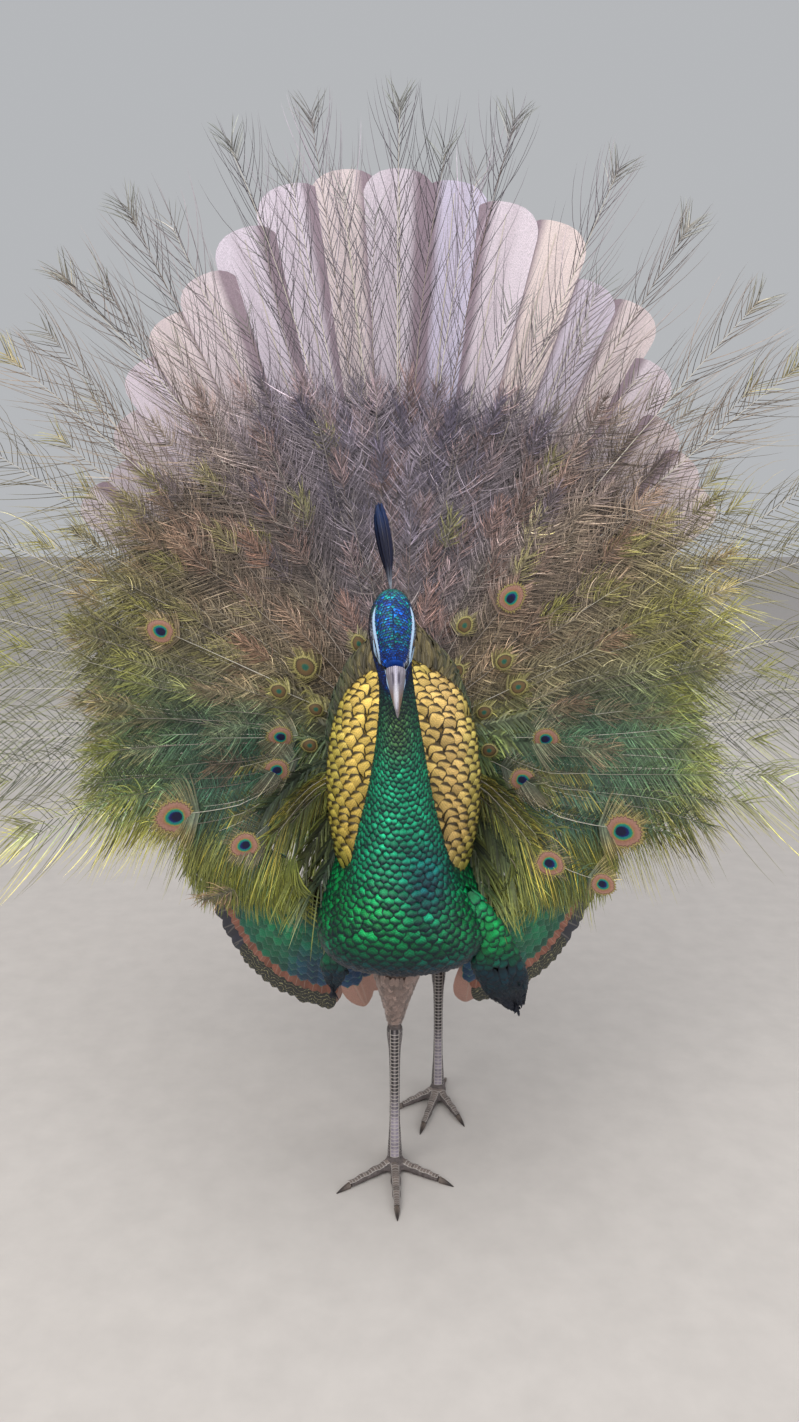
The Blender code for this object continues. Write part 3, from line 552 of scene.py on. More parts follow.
# ---- Bill ----------
# The bill is two sheaths of grey horn over bone, with a pale ridge along the top, ridges
# that fan out at its root, and a dark groove over each nostril. The sheaths just meet.

BILL_ROOT, BILL_PITCH, BILL_LENGTH = np.array((-0.004, -0.2208, 0.6578)), 61.0, 0.050
BILL_VOXEL = 0.00042
horn, tree, shader = mottled_finish("bill horn", 0.0012, 0.82, 1.15, roughness=0.34,
                                    coat_weight=0.25)
streaks = knot(tree, "TexNoise", {"Vector": knot(tree, "VectorMath", {
    0: knot(tree, "NewGeometry").outputs["Position"], 1: (1600.0, 260.0, 260.0)},
    operation="MULTIPLY").outputs[0], "Scale": 1.0})
bumped(tree, shader, streaks.outputs[0], 0.00018, 0.5)

pitch = math.radians(BILL_PITCH)
bill_axis = np.array((0.0, -math.cos(pitch), -math.sin(pitch)))
bill_over = np.array((0.0, -math.sin(pitch), math.cos(pitch)))
for half in ("upper", "lower"):
    points, quads, lean = remeshed(["bill_" + half], BILL_VOXEL, 0.0, 3)
    along = ((points - BILL_ROOT) @ bill_axis) / BILL_LENGTH
    across = np.abs(points[:, 0] - BILL_ROOT[0] - 0.001 * along)
    over = (points - BILL_ROOT) @ bill_over
    groove = np.exp(-((along - 0.27) / 0.13) ** 4 - ((across - 0.0040 + 0.002 * along) / 0.0011) ** 2)
    ridge = np.exp(-(across / (0.0016 - 0.0008 * np.clip(along, 0, 1))) ** 2) * ease(over / 0.002)
    fans = np.cos(across * 2 * np.pi / 0.0022) * ease((0.22 - along) / 0.12) * ease(over / 0.002)
    if half == "upper":
        points = points + lean * (0.00035 * ridge - 0.0009 * groove + 0.00022 * fans)[:, None]
    shade = blend(dye(128, 122, 132), dye(126, 100, 84),
                  ease((along - 0.35) / 0.4) * ease(across / 0.004))
    shade = blend(shade, dye(214, 208, 228), np.clip(ridge * ease((1.1 - along) / 0.3), 0, 1) * 0.85)
    shade = blend(shade, dye(200, 192, 214), np.clip(fans, 0, 1) * 0.6)
    shade = blend(shade, dye(48, 36, 66), np.clip(groove, 0, 1) * 0.95)
    # painted highlight: a whitish sheen along the top of the upper sheath's outer half
    shade = blend(shade, dye(226, 224, 230), np.exp(-((along - 0.62) / 0.2) ** 2) *
                  ease((0.0034 - across) / 0.002) * 0.75 * (half == "upper"))
    edge = ease((0.0006 - np.abs(over + 0.0014)) / 0.0006) * 0.5
    shade = blend(shade, dye(70, 54, 52), edge * (half == "upper"))
    sheath = make_piece("bill_" + half + "_horn", points, quads, horn, "horn",
                        np.stack([0.5 + (points[:, 0] - BILL_ROOT[0]) * 12, 0.1 + along * 0.8], -1),
                        plumage=shade)
    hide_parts("bill_" + half)

# ---- Small feathers of the head, neck, breast and belly ----------
# The coat is thousands of short cupped feathers in staggered rows, each rooted in the hide
# and lying over the next. They are scales of 2 mm on the face and 14 mm on the breast,
# with a bright middle and a dark rim, so the rows read as scallops.

LEAF_ROWS = np.array((0.0, 0.26, 0.52, 0.74, 0.90, 1.0))
LEAF_COLUMNS = np.array((-1.0, -0.52, 0.0, 0.52, 1.0))
PATCH = 0.003
EYE_CLEAR, BILL_CLEAR = 0.0064, 0.0040     # how far from them the feathers start
COAT_JITTER = 0.12                         # how far roots stray, as a part of a row's spacing
# place along the body, row spacing, feather length, feather width, depth at the root
COAT_STEPS = np.array(((0.0, 0.0019, 0.0044, 0.0023, 0.0012), (1.2, 0.0026, 0.0056, 0.0031, 0.0014),
                       (2.4, 0.0033, 0.0068, 0.0040, 0.0017), (4.4, 0.0034, 0.0072, 0.0042, 0.0018),
                       (5.8, 0.0030, 0.0080, 0.0038, 0.0022), (7.0, 0.0036, 0.0105, 0.0050, 0.0034),
                       (9.5, 0.0056, 0.0150, 0.0078, 0.0045), (12.5, 0.0082, 0.0205, 0.0122, 0.0060),
                       (15.0, 0.0092, 0.0225, 0.0140, 0.0070), (18.0, 0.0110, 0.0270, 0.0150, 0.0075),
                       (21.0, 0.0110, 0.0280, 0.0130, 0.0060)))


def normals_of(grid):
    around = (np.roll(grid, -1, 1) - np.roll(grid, 1, 1)) / 2.0
    lean = unit(np.cross(np.gradient(grid, axis=0), around))
    out = grid - grid.mean(1, keepdims=True)
    return lean if (lean * out).sum() > 0 else -lean


def on_sheet(grid, row, column):
    """Value of a grid that closes round its columns, at any row and column."""
    row = np.clip(row, 0.0, len(grid) - 1.001)
    i, j = np.floor(row).astype(int), np.floor(column).astype(int)
    u, v = (row - i)[..., None], (column - j)[..., None]
    j = j % grid.shape[1]
    k = (j + 1) % grid.shape[1]
    return ((grid[i, j] * (1 - v) + grid[i, k] * v) * (1 - u) +
            (grid[i + 1, j] * (1 - v) + grid[i + 1, k] * v) * u)


def sheet_surface(grid, normals):
    """Points and normals at any row and column, carried on straight past the last row."""
    last = len(grid) - 1.001

    def surface(row, column):
        end = np.full(np.shape(row), last)
        heading = on_sheet(grid, end, column) - on_sheet(grid, end - 1.0, column)
        over = np.maximum(row - last, 0.0)[..., None]
        return on_sheet(grid, row, column) + heading * over, on_sheet(normals, row, column)
    return surface


def row_of_place(place):
    return (place - END_MARGIN) * (SHEET_ROWS - 1) / (BODY_LAST - 2 * END_MARGIN)


def mixed(tree, share, first, second):
    return knot(tree, "Mix", {0: share, 6: first, 7: second}, data_type="RGBA").outputs[2]


def leaf_template(rows=LEAF_ROWS, columns=LEAF_COLUMNS, blunt=0.14, waist=0.40):
    """A vane's points as across -1 to 1, along 0 to 1 and half width 0 to 1, and its quads."""
    along, across = (axis.ravel() for axis in np.meshgrid(rows, columns, indexing="ij"))
    wide = np.where(along < 0.6, waist + (1 - waist) * np.sin(np.pi / 2 * along / 0.6),
                    np.sqrt(np.maximum(1 - ((along - 0.6) / 0.4) ** 2, 0)))
    return across, along, np.maximum(wide, blunt), net(len(rows), len(columns), False)


def lay_leaves(surface, row, column, length, width, root, proud=0.0004, lean=0.0,
               cup=0.20, curl=0.0, template=None):
    """Feathers on a surface of rows and columns: every vane's points, faces and marks."""
    across, along, wide, quads = template or leaf_template()
    row, column = np.asarray(row, float), np.asarray(column, float)
    length, width, root, lean = (np.broadcast_to(v, row.shape) for v in (length, width, root, lean))
    row_scale = np.linalg.norm(surface(row + 1.0, column)[0] - surface(row, column)[0], axis=1)
    column_scale = np.linalg.norm(surface(row, column + 1.0)[0] - surface(row, column)[0], axis=1)
    x = across[None] * wide[None] * width[:, None] / 2.0
    y = along[None] * length[:, None]
    turned_x = x * np.cos(lean)[:, None] + y * np.sin(lean)[:, None]
    turned_y = y * np.cos(lean)[:, None] - x * np.sin(lean)[:, None]
    points, normals = surface(row[:, None] + turned_y / (row_scale[:, None] + 1e-5),
                              column[:, None] + turned_x / (column_scale[:, None] + 1e-5))
    lift = (proud - root[:, None] * (1 - along[None]) ** 1.15 -
            cup * width[:, None] * np.abs(across[None]) ** 2.2 * 0.5 * (0.4 + 0.6 * along[None]) +
            curl * length[:, None] * along[None] ** 3)
    points = points + normals * lift[..., None]
    count, corner = points.shape[:2]
    faces = (quads[None] + np.arange(count)[:, None, None] * corner).reshape(-1, quads.shape[1])
    marks = np.stack([np.tile(across, (count, 1)), np.tile(along, (count, 1))], -1)
    return points, faces, marks


def vane_marks(marks, rng):
    """The marks with a third number, the chance by which each feather is lighter or darker."""
    chance = rng.random(len(marks))[:, None, None] * np.ones((1, marks.shape[1], 1))
    return np.concatenate([marks, chance], -1)


def root_patch(row, column, rows, columns, marks, corner):
    """OFBake places: a patch for each feather at its root's place on the unwrapped hide, which
    has this low corner and size on the map."""
    u = corner[0] + corner[2] * (column % columns) / columns
    v = corner[1] + corner[3] * row / rows
    middle = np.stack([u, v], -1)[:, None]
    return middle + (marks[..., :2] * (0.5, 1.0) - (0.0, 0.5)) * PATCH


def feather_piece(name, laid, row, column, sheet, corner, finish, slot, colour, rng):
    """One piece of the coat from laid feathers and the rows and columns of their roots."""
    points, faces, marks = laid
    marks = vane_marks(marks, rng)
    patch = root_patch(row, column, *sheet.shape[:2], marks, corner)
    return make_piece(name, points, faces, finish, slot, patch, plumage=colour, vane=marks)


def plumage_finish(name, rough=0.46, metal=0.25, rim=None, rim_from=0.72, rim_to=0.98,
                   barbs=9.0, contrast=0.20, shaft=0.25, gleam=0.0, chance=0.35, fade=0.0):
    """Vanes with fine barb lines, a shaft line, a rim, and a chance light or dark one; fade
    darkens their roots, where the vanes above shade them."""
    finish, tree, shader = new_finish(name, roughness=rough, metallic=metal, sheen_weight=gleam)
    vane = axes_of(tree, "vane")
    across = maths(tree, "ABSOLUTE", vane[0])
    slant = maths(tree, "SUBTRACT", vane[1], times(tree, across, 0.28))
    lines = maths(tree, "SINE", times(tree, slant, 2 * math.pi * barbs))
    level = maths(tree, "ADD", 1.0, times(tree, lines, contrast))
    level = times(tree, level, ranged(tree, vane[2], 0.0, 1.0, 1.0 - chance, 1.0 + chance))
    level = times(tree, level, ranged(tree, vane[1], 0.25, 0.85, 1.0 - fade, 1.0 + 0.35 * fade))
    bright = knot(tree, "VectorMath", {0: own_dye(tree), "Scale": level},
                  operation="SCALE").outputs[0]
    bright = mottle(tree, bright, 0.0016, 0.80, 1.22)
    if shaft:
        spine = ranged(tree, across, 0.02, 0.09, shaft, 0.0)
        bright = mixed(tree, spine, bright, (0.55, 0.5, 0.42, 1.0))
    if rim is not None:
        edge = ranged(tree, maths(tree, "MAXIMUM", across, vane[1]), rim_from, rim_to, 0.0, 0.94,
                      interpolation_type="SMOOTHSTEP")
        bright = mixed(tree, edge, bright, (*rim, 1.0))
    tree.links.new(bright, shader.inputs["Base Color"])
    bumped(tree, shader, lines, 0.00015, 0.35)
    return finish


def coat_roots(first, last, rng):
    """Rows and columns of the feathers on the lofted body between two places."""
    rows, columns, sizes = [], [], []
    place, number = first, 0
    fine = np.linspace(0.1, BODY_LAST - 0.1, 240)
    speed, speed_under = (np.linalg.norm(np.gradient(on_sheet(
        BODY_SHEET, row_of_place(fine), np.full(240, column)), fine, axis=0), axis=1)
        for column in (0.0, SHEET_COLUMNS / 2.0))
    use = ease((fine - 6.0) / 2.0)
    speed = speed * (1 - use) + np.maximum(speed_under, speed * 0.5) * use
    while place < last:
        spacing, length, width, root = (np.interp(place, COAT_STEPS[:, 0], COAT_STEPS[:, k])
                                        for k in (1, 2, 3, 4))
        ring = on_sheet(BODY_SHEET, np.full(SHEET_COLUMNS, row_of_place(place)),
                        np.arange(SHEET_COLUMNS))
        girth = np.linalg.norm(ring - np.roll(ring, 1, 0), axis=1)
        count = int(round(girth.sum() / width / 2) * 2)
        travel = np.concatenate([[0], np.cumsum(girth[1:])]) / girth.sum()
        share = (np.arange(count) + 0.5 * (number % 2)) / count
        share = (share + rng.normal(0, COAT_JITTER / 4 / count, count)) % 1.0
        columns.append(np.interp(share, travel, np.arange(SHEET_COLUMNS)))
        pace = spacing / np.interp(place, fine, speed)
        rows.append(row_of_place(place + rng.normal(0, COAT_JITTER, count) * pace / 2))
        sizes.append(np.tile((length, width, root), (count, 1)))
        place += pace
        number += 1
    return np.concatenate(rows), np.concatenate(columns), np.concatenate(sizes)


SCALE_RIM = dye(6, 24, 40)
crown_finish = plumage_finish("crown scales", rough=0.38, metal=0.35, rim=dye(3, 9, 44),
                              rim_from=0.46, rim_to=0.84, barbs=3.0, contrast=0.1, shaft=0.0,
                              fade=0.4)
neck_finish = plumage_finish("neck scales", rough=0.42, metal=0.38, rim=SCALE_RIM,
                             rim_from=0.56, rim_to=0.88, barbs=7.0, shaft=0.0, fade=0.45)
belly_finish = plumage_finish("belly down", rough=0.75, metal=0.0, barbs=12.0, contrast=0.3,
                              gleam=0.3)
rng = np.random.default_rng(11)
# piece, first and last place along the body, finish, slot
COATS = (("head_feathers", 0.15, 5.9, crown_finish, "crown_feathers"),
         ("neck_feathers", 5.6, 12.3, neck_finish, "green_feathers"),
         ("breast_feathers", 12.3, 15.4, neck_finish, "green_feathers"),
         ("belly_feathers", 15.2, 20.8, belly_finish, "dark_feathers"))
mantle_solid = tree_of(["mantle"])
body_surface = sheet_surface(BODY_SHEET, normals_of(BODY_SHEET))


def buried(points, solid, depth):
    """True for points more than depth under the surface of a closed solid."""
    under = np.zeros(len(points), bool)
    for number, point in enumerate(points):
        place, lean, _, away = solid.find_nearest(point)
        if away is not None and away > depth:
            under[number] = (place - type(place)(point)).dot(lean) > 0
    return under


for name, first, last, finish, slot in COATS:
    on_head = name == "head_feathers"
    row, column, size = coat_roots(first, last, rng)
    roots = on_sheet(BODY_SHEET, row, column)
    keep = np.linalg.norm(roots - BILL_ROOT, axis=1) > BILL_CLEAR
    for centre, pole in EYE_CENTRES.values():
        keep &= np.linalg.norm(roots - (centre + pole * 0.006), axis=1) > EYE_CLEAR
    keep &= ~buried(roots, mantle_solid, 0.004)
    row, column, size = row[keep], column[keep], size[keep]
    lift = rng.normal(0, 0.12, len(row)) * size[:, 2]
    laid = lay_leaves(body_surface, row, column, size[:, 0] * rng.uniform(0.92, 1.1, len(row)),
                      size[:, 1] * 1.28, size[:, 2] + lift, lean=rng.normal(0, 0.07, len(row)))
    corners = laid[0].shape[1]
    turn, place = np.repeat(turn_of_column(column), corners), np.repeat(place_of_row(row), corners)
    colour = body_marks(place, turn, laid[0].reshape(-1, 3) if on_head else
                        np.repeat(laid[0].mean(1), corners, 0))
    if on_head:
        fleck = np.repeat(rng.random(len(row)) ** 2, corners)
        crown = (np.abs(turn) < 50) * ease((place - 0.3) / 0.8) * (1 - ease((place - 5.4) / 0.5))
        colour = blend(colour, CROWN_TEAL * 1.25, fleck * crown * 0.8)
    uneven = np.repeat(np.exp(rng.normal(-0.05, 0.42 if on_head else 0.24, len(row))), corners)
    pale = ease((colour.min(1) - 0.10) / 0.15)
    colour = colour * (1 + (uneven - 1) * (1 - pale))[:, None]
    feather_piece(name, laid, row, column, BODY_SHEET, (0.02, 0.30, 0.96, 0.68), finish, slot,
                  colour, rng)

# ---- Crest ----------
# The crest is a bundle of narrow feathers with bare stalks, standing on the crown. The vanes
# are inky blue, and the stalks and the shaft of the nearest one are pale quill.

CREST_FEATHERS, CREST_ROWS = 19, 11
CREST_SPREAD, CREST_VANE, CREST_STALK = 0.0064, 0.0066, 0.00035
crest_low, crest_high = (np.array(corner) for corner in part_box("crest"))
CREST_ROOT = np.array((-0.0090, (crest_low[1] + crest_high[1]) / 2 - 0.008, crest_low[2] - 0.003))
CREST_TIP = np.array((crest_low[0] + 0.0035, CREST_ROOT[1] + 0.016, crest_high[2]))
rng = np.random.default_rng(5)
crest_finish = plumage_finish("crest vanes", rough=0.5, metal=0.25, barbs=24.0, contrast=0.35,
                              shaft=0.15, chance=0.3)
across, along, _, quads = leaf_template(np.linspace(0, 1, CREST_ROWS),
                                        np.array((-1.0, 0.0, 1.0)))
vanes, marks = [], []
for number in range(CREST_FEATHERS):
    turn = number * GOLDEN_TURN
    out = CREST_SPREAD * math.sqrt((number + 0.4) / CREST_FEATHERS)
    reach = rng.uniform(0.86, 1.0) if number else 1.0
    tip = CREST_ROOT + (CREST_TIP - CREST_ROOT) * reach
    aim = np.array((out * math.cos(turn), out * 0.8 * math.sin(turn), 0.0))
    middle = (CREST_ROOT + tip) / 2 + aim * 1.25 + (0.0025, 0.0, 0.0)
    tip = tip + aim * 0.85
    spine = ((1 - along)[:, None] ** 2 * CREST_ROOT + 2 * (along * (1 - along))[:, None] * middle +
             along[:, None] ** 2 * tip)
    wide = CREST_STALK + CREST_VANE / 2 * ease((along - 0.16) / 0.42) * (
        1 - 0.9 * ease((along - 0.82) / 0.18))
    face = rng.uniform(-0.9, 0.9)
    side = np.array((math.cos(face), math.sin(face), 0.0))
    vanes.append(spine + (across * wide)[:, None] * side)
    marks.append(np.stack([across, along, np.full(len(along), rng.random())], -1))
points, marks = np.array(vanes), np.array(marks)
faces = (quads[None] + np.arange(len(points))[:, None, None] * len(along)).reshape(-1, 4)
stalk = np.tile((1 - ease((along - 0.10) / 0.16)) * 0.75, len(points))
colour = blend(dye(6, 15, 46), dye(168, 176, 190), stalk)
# painted glints: a lighter blue towards the tips of some vanes
colour = blend(colour, dye(20, 62, 120), 0.6 * ease((marks[..., 1].ravel() - 0.6) / 0.4) *
               np.repeat(rng.random(len(points)), len(along)))
crest = make_piece("crest_feathers", points, faces, crest_finish, "crown_feathers",
                   spread_patch(len(colour)), plumage=colour, vane=marks)
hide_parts("crest")

# ---- Gold mantle and the coat round the train's root ----------
# Behind the neck stands a ruff of stiff, broad, rounded gold feathers that point up and
# outwards, each with a thin dark edge. Behind it shorter bronze ones cover the train's root.

PAD_COLUMNS, PAD_ROWS = 48, 44
MANTLE_LINE = ((0.366, -0.074), (0.400, -0.054), (0.450, -0.040), (0.500, -0.029),
               (0.550, -0.012), (0.590, 0.005), (0.626, 0.030))
ROOT_LINE = ((0.434, 0.058), (0.530, 0.060), (0.580, 0.066), (0.660, 0.094))
MANTLE_LEAF, ROOT_LEAF = (0.0225, 0.0210, 0.0096), (0.044, 0.0062, 0.010)   # long, wide, row step


def upright_sheet(names, line, centre_x, rising=True):
    """A sheet of level rings round a pad that stands upright, from its middle line."""
    heights = np.linspace(line[0][0], line[-1][0], PAD_ROWS)
    middle = np.interp(heights, *zip(*line))
    if not rising:
        heights, middle = heights[::-1], middle[::-1]
    centres = np.stack([np.full(PAD_ROWS, centre_x), middle, heights], -1)
    return cast_sheet(tree_of(names), centres, BACKWARD, LEFTWARD, PAD_COLUMNS, outside=0.25)


def clear_roots(grid, step, width, rng, depth):
    """Rows, columns and places of a pad's roots, without those buried in the body."""
    row, column = pad_roots(grid, step, width, rng)
    roots = on_sheet(grid, row, column)
    keep = ~buried(roots, body_solid, depth)
    return row[keep], column[keep], roots[keep]


def pad_roots(grid, step, width, rng, jitter=0.10):
    """Staggered rows of roots on a sheet, spaced by real distances."""
    travel = np.linalg.norm(np.diff(grid[:, ::4].mean(1), axis=0), axis=1)
    travel = np.concatenate([[0], np.cumsum(travel)])
    rows, columns = [], []
    for number, at in enumerate(np.arange(0.0, travel[-1], step)):
        row = np.interp(at, travel, np.arange(len(grid)))
        ring = on_sheet(grid, np.full(grid.shape[1], row), np.arange(grid.shape[1]))
        girth = np.linalg.norm(np.roll(ring, -1, 0) - ring, axis=1)
        count = max(int(round(girth.sum() / width)), 5)
        share = (np.arange(count) + 0.5 * (number % 2) + rng.normal(0, jitter, count)) / count
        gone = np.concatenate([[0], np.cumsum(girth)]) / girth.sum()
        columns.append(np.interp(share % 1.0, gone, np.arange(grid.shape[1] + 1)))
        rows.append(np.clip(row + rng.normal(0, jitter, count), 0, len(grid) - 1.0))
    return np.concatenate(rows), np.concatenate(columns)


rng = np.random.default_rng(23)
body_solid = tree_of(LOFTED)
gold_finish = plumage_finish("gold scales", rough=0.48, metal=0.30, rim=dye(26, 18, 6),
                             rim_from=0.74, rim_to=0.86, barbs=8.0, contrast=0.10, shaft=0.0,
                             chance=0.22, fade=0.35)
bronze_finish = plumage_finish("bronze vanes", rough=0.55, metal=0.15, barbs=16.0, contrast=0.4,
                               shaft=0.3, gleam=0.2)
for node, line, leaf, finish, slot, outward, loose in (
        ("mantle", MANTLE_LINE, MANTLE_LEAF, gold_finish, "gold_feathers", 0.42, 0.05),
        ("train_root", ROOT_LINE, ROOT_LEAF, bronze_finish, "train_feathers", 0.75, 0.24)):
    grid = upright_sheet([node], line, BODY_SWAY)
    row, column, roots = clear_roots(grid, leaf[2], leaf[1] * 0.88, rng, 0.003)
    lean = outward * np.sign(roots[:, 0] - BODY_SWAY) * ease(np.abs(roots[:, 0]) / 0.05)
    at_back = np.cos(column * 2 * np.pi / PAD_COLUMNS) < 0.2
    lean = np.where(at_back, -lean, lean) + rng.normal(0, loose, len(row))
    laid = lay_leaves(sheet_surface(grid, normals_of(grid)), row, column,
                      leaf[0] * rng.uniform(1 - loose, 1.06, len(row)), leaf[1], 0.0075,
                      lean=lean, cup=0.30, proud=0.0006)
    corners = laid[0].shape[1]
    colour = MARKS[node](np.repeat(roots, corners, 0)) * np.repeat(
        np.exp(rng.normal(0, loose * 2, len(row))), corners)[:, None]
    feather_piece(node + "_feathers", laid, row, column, grid, (0.02, 0.16, 0.45, 0.12), finish,
                  slot, colour, rng)

# ---- Thighs and undertail ----------
# Short soft brown feathers sleeve each drumstick down to the ankle, and longer loose ones
# hang under the tail's root. Both are downy, with no gloss.

STANDS = {"right": np.array((-0.006, -0.084, 0.0)), "left": np.array((0.055, 0.088, 0.0))}
KNEE_AHEAD = {"right": 0.050, "left": 0.062}
ANKLE_HEIGHT, THIGH_TOP = 0.197, 0.312
UNDERTAIL_LINE = ((0.340, 0.156), (0.420, 0.192), (0.465, 0.207), (0.530, 0.226))
THIGH_LEAF, UNDERTAIL_LEAF = (0.0135, 0.0075, 0.0052), (0.036, 0.018, 0.012)
down_finish = plumage_finish("downy vanes", rough=0.8, metal=0.0, barbs=10.0, contrast=0.28,
                             shaft=0.0, gleam=0.35)
soft = []
for label, stand in STANDS.items():
    ends = (stand + (0.004, -KNEE_AHEAD[label], THIGH_TOP), stand + (0.0, 0.0, ANKLE_HEIGHT))
    part = np.linspace(0.12, 1.0, PAD_ROWS)[:, None]
    forward = np.cross(unit(ends[1] - ends[0]), LEFTWARD)
    grid = cast_sheet(tree_of(["thigh_" + label]), ends[0] * (1 - part) + ends[1] * part,
                      forward, LEFTWARD, PAD_COLUMNS, outside=0.08)
    soft.append(("thigh_feathers_" + label, grid, THIGH_LEAF, 0.0034, THIGH, "dark_feathers"))
soft.append(("undertail_feathers", upright_sheet(["undertail"], UNDERTAIL_LINE, BODY_SWAY,
                                                 rising=False),
             UNDERTAIL_LEAF, 0.006, UNDERTAIL, "tail_feathers"))
for name, grid, leaf, root, tint, slot in soft:
    row, column, _ = clear_roots(grid, leaf[2], leaf[1] * 0.8, rng, 0.006)
    laid = lay_leaves(sheet_surface(grid, normals_of(grid)), row, column,
                      leaf[0] * rng.uniform(0.85, 1.15, len(row)), leaf[1], root,
                      lean=rng.normal(0, 0.14, len(row)), cup=0.1)
    colour = tint * rng.uniform(0.72, 1.2, (len(row), 1, 1)) * np.ones(laid[0].shape)
    feather_piece(name, laid, row, column, grid, (0.50, 0.16, 0.2, 0.12), down_finish, slot,
                  colour, rng)

# ---- Flank tufts ----------
# At each lower corner of the breast the scales run on into a loose tuft that hangs over the
# thigh. Its vanes are longer and softer, and they turn from green to inky blue.

FLANK_LINES = {"left": ((0.073, -0.137, 0.388), (0.092, -0.142, 0.350), (0.110, -0.130, 0.308),
                        (0.126, -0.114, 0.268), (0.136, -0.101, 0.243)),
               "right": ((-0.070, -0.144, 0.328), (-0.074, -0.140, 0.310), (-0.076, -0.132, 0.292),
                         (-0.078, -0.124, 0.276), (-0.079, -0.118, 0.265))}
FLANK_LEAF, FLANK_WISP = (0.0205, 0.0140, 0.0082), (0.034, 0.0036)
WISPS = {"left": 300, "right": 110}
FLANK_INK, FLANK_TEAL = dye(8, 20, 46), dye(8, 70, 74)
flank_finish = plumage_finish("flank vanes", rough=0.45, metal=0.32, rim=SCALE_RIM,
                              rim_from=0.66, rim_to=0.96, barbs=10.0, contrast=0.25, shaft=0.0,
                              fade=0.45)
for label, line in FLANK_LINES.items():
    centres = line_at(line, np.linspace(0.0, 1.0, PAD_ROWS))
    ahead = unit(centres[-1] - centres[0])
    beside = unit(np.array((-ahead[2], 0.0, ahead[0])))
    front = np.cross(ahead, beside)
    front *= -np.sign(front[1])
    grid = cast_sheet(tree_of(["flank_" + label]), centres, front, beside, PAD_COLUMNS,
                      outside=0.06)
    row, column = pad_roots(grid, FLANK_LEAF[2], FLANK_LEAF[1] * 0.8, rng)
    wisps = WISPS[label]
    row = np.concatenate([row, PAD_ROWS * rng.uniform(0.62, 1.0, wisps)])
    column = np.concatenate([column, rng.uniform(0, PAD_COLUMNS, wisps)])
    thin = np.arange(len(row)) >= len(row) - wisps
    keep = ~buried(on_sheet(grid, row, column), body_solid, 0.005)
    row, column, thin = row[keep], column[keep], thin[keep]
    height = on_sheet(grid, row, column)[:, 2]
    long = np.where(thin, FLANK_WISP[0], FLANK_LEAF[0]) * rng.uniform(0.75, 1.15, len(row))
    wide = np.where(thin, FLANK_WISP[1], FLANK_LEAF[1])
    lean = rng.normal(0, 0.10, len(row)) + thin * rng.normal(0, 0.25, len(row))
    laid = lay_leaves(sheet_surface(grid, normals_of(grid)), row, column, long, wide, 0.006,
                      lean=lean, cup=0.16, proud=0.001)
    drop = (height - line[-1][2]) / (line[0][2] - line[-1][2])
    colour = blend(ramp(height + 0.02, NECK_STOPS), FLANK_TEAL, ease((0.45 - drop) / 0.3) * 0.6)
    colour = blend(colour, FLANK_INK, np.clip(ease((0.24 - drop) / 0.30) + thin * 0.3, 0, 1))
    colour = colour[:, None] * rng.uniform(0.5, 1.1, (len(row), 1, 1)) * np.ones(laid[0].shape)
    flank = feather_piece("flank_feathers_" + label, laid, row, column, grid,
                          (0.72, 0.16, 0.2, 0.12), flank_finish, "green_feathers", colour, rng)
    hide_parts("flank_" + label)

# ---- Wings ----------
# Each wing droops beside the body, spread like a hand fan from the wrist: teal coverts with
# lighter rings, then a rust band of primary coverts, barred scapulars by the body, and long
# inky flight feathers that make its edge. Brown coverts line the side that faces back.

WRIST = np.array((0.095, -0.109, 0.420))
WING_TOP, WING_LOW = 4.0, {"left": 91.0, "right": 106.0}
WING_SIDE = {"left": 1.0, "right": -1.0}
WING_SIZE = {1.0: 1.00, -1.0: 1.045}       # the right wing is held a little more open
TEAL, TEAL_DEEP, EMERALD, RING_GREEN = (dye(2, 64, 62), dye(4, 36, 54), dye(2, 126, 82),
                                        dye(64, 132, 106))
RUST, FLIGHT_INK, BARRED_INK, BAR_CREAM = (dye(146, 96, 80), dye(8, 18, 46), dye(8, 22, 20),
                                           dye(168, 162, 116))
BUFF_TIP, UNDERWING, WISP_GREY = dye(176, 134, 120), dye(84, 68, 58), dye(142, 130, 114)
DRAPE_LIME, DRAPE_OLIVE = dye(156, 158, 50), dye(92, 104, 40)
# the loose feathers over the wrist: how many, first and last root row and how they crowd to the
# first, first and last degree, shortest and longest, and how far they lean and scatter
DRAPE_COUNT, DRAPE_ROWS, DRAPE_CROWD, DRAPE_TURNS = 150, (14.0, 88.0), 1.3, (2.0, 24.0)
DRAPE_LONG, DRAPE_LEAN = (0.028, 0.052), (1.25, 0.26)


def wing_reach(fall):
    return 0.210 + 0.094 * ease((fall - 22) / 72) - 0.030 * ease((fall - 97) / 12)


def wing_surface(side, lift):
    """The wing's front or back face: rows are hundredths of its reach, columns degrees."""
    def place(row, column):
        part, swing = row / 100.0, np.radians(column)
        radius = wing_reach(column) * WING_SIZE[side] * part
        sweep = (0.165 + 0.055 * ease(column / 90.0)) * np.maximum(part, 0.0) ** 1.15
        return np.stack([BODY_SWAY + side * (WRIST[0] + radius * np.cos(swing)),
                         WRIST[1] + sweep - 0.020 * np.sin(np.pi * np.clip(part, 0, 1.0)),
                         WRIST[2] - radius * np.sin(swing)], -1)

    def surface(row, column):
        row, column = np.broadcast_arrays(row, column)
        here = place(row, column)
        rise = lift(row, column)[..., None]
        lean = unit(np.cross(place(row + 0.5, column) - here, place(row, column + 0.5) - here))
        lean = lean * np.where(lean[..., 1:2] > 0, -1.0, 1.0) * np.sign(rise)
        return here + lean * np.abs(rise), lean
    return surface


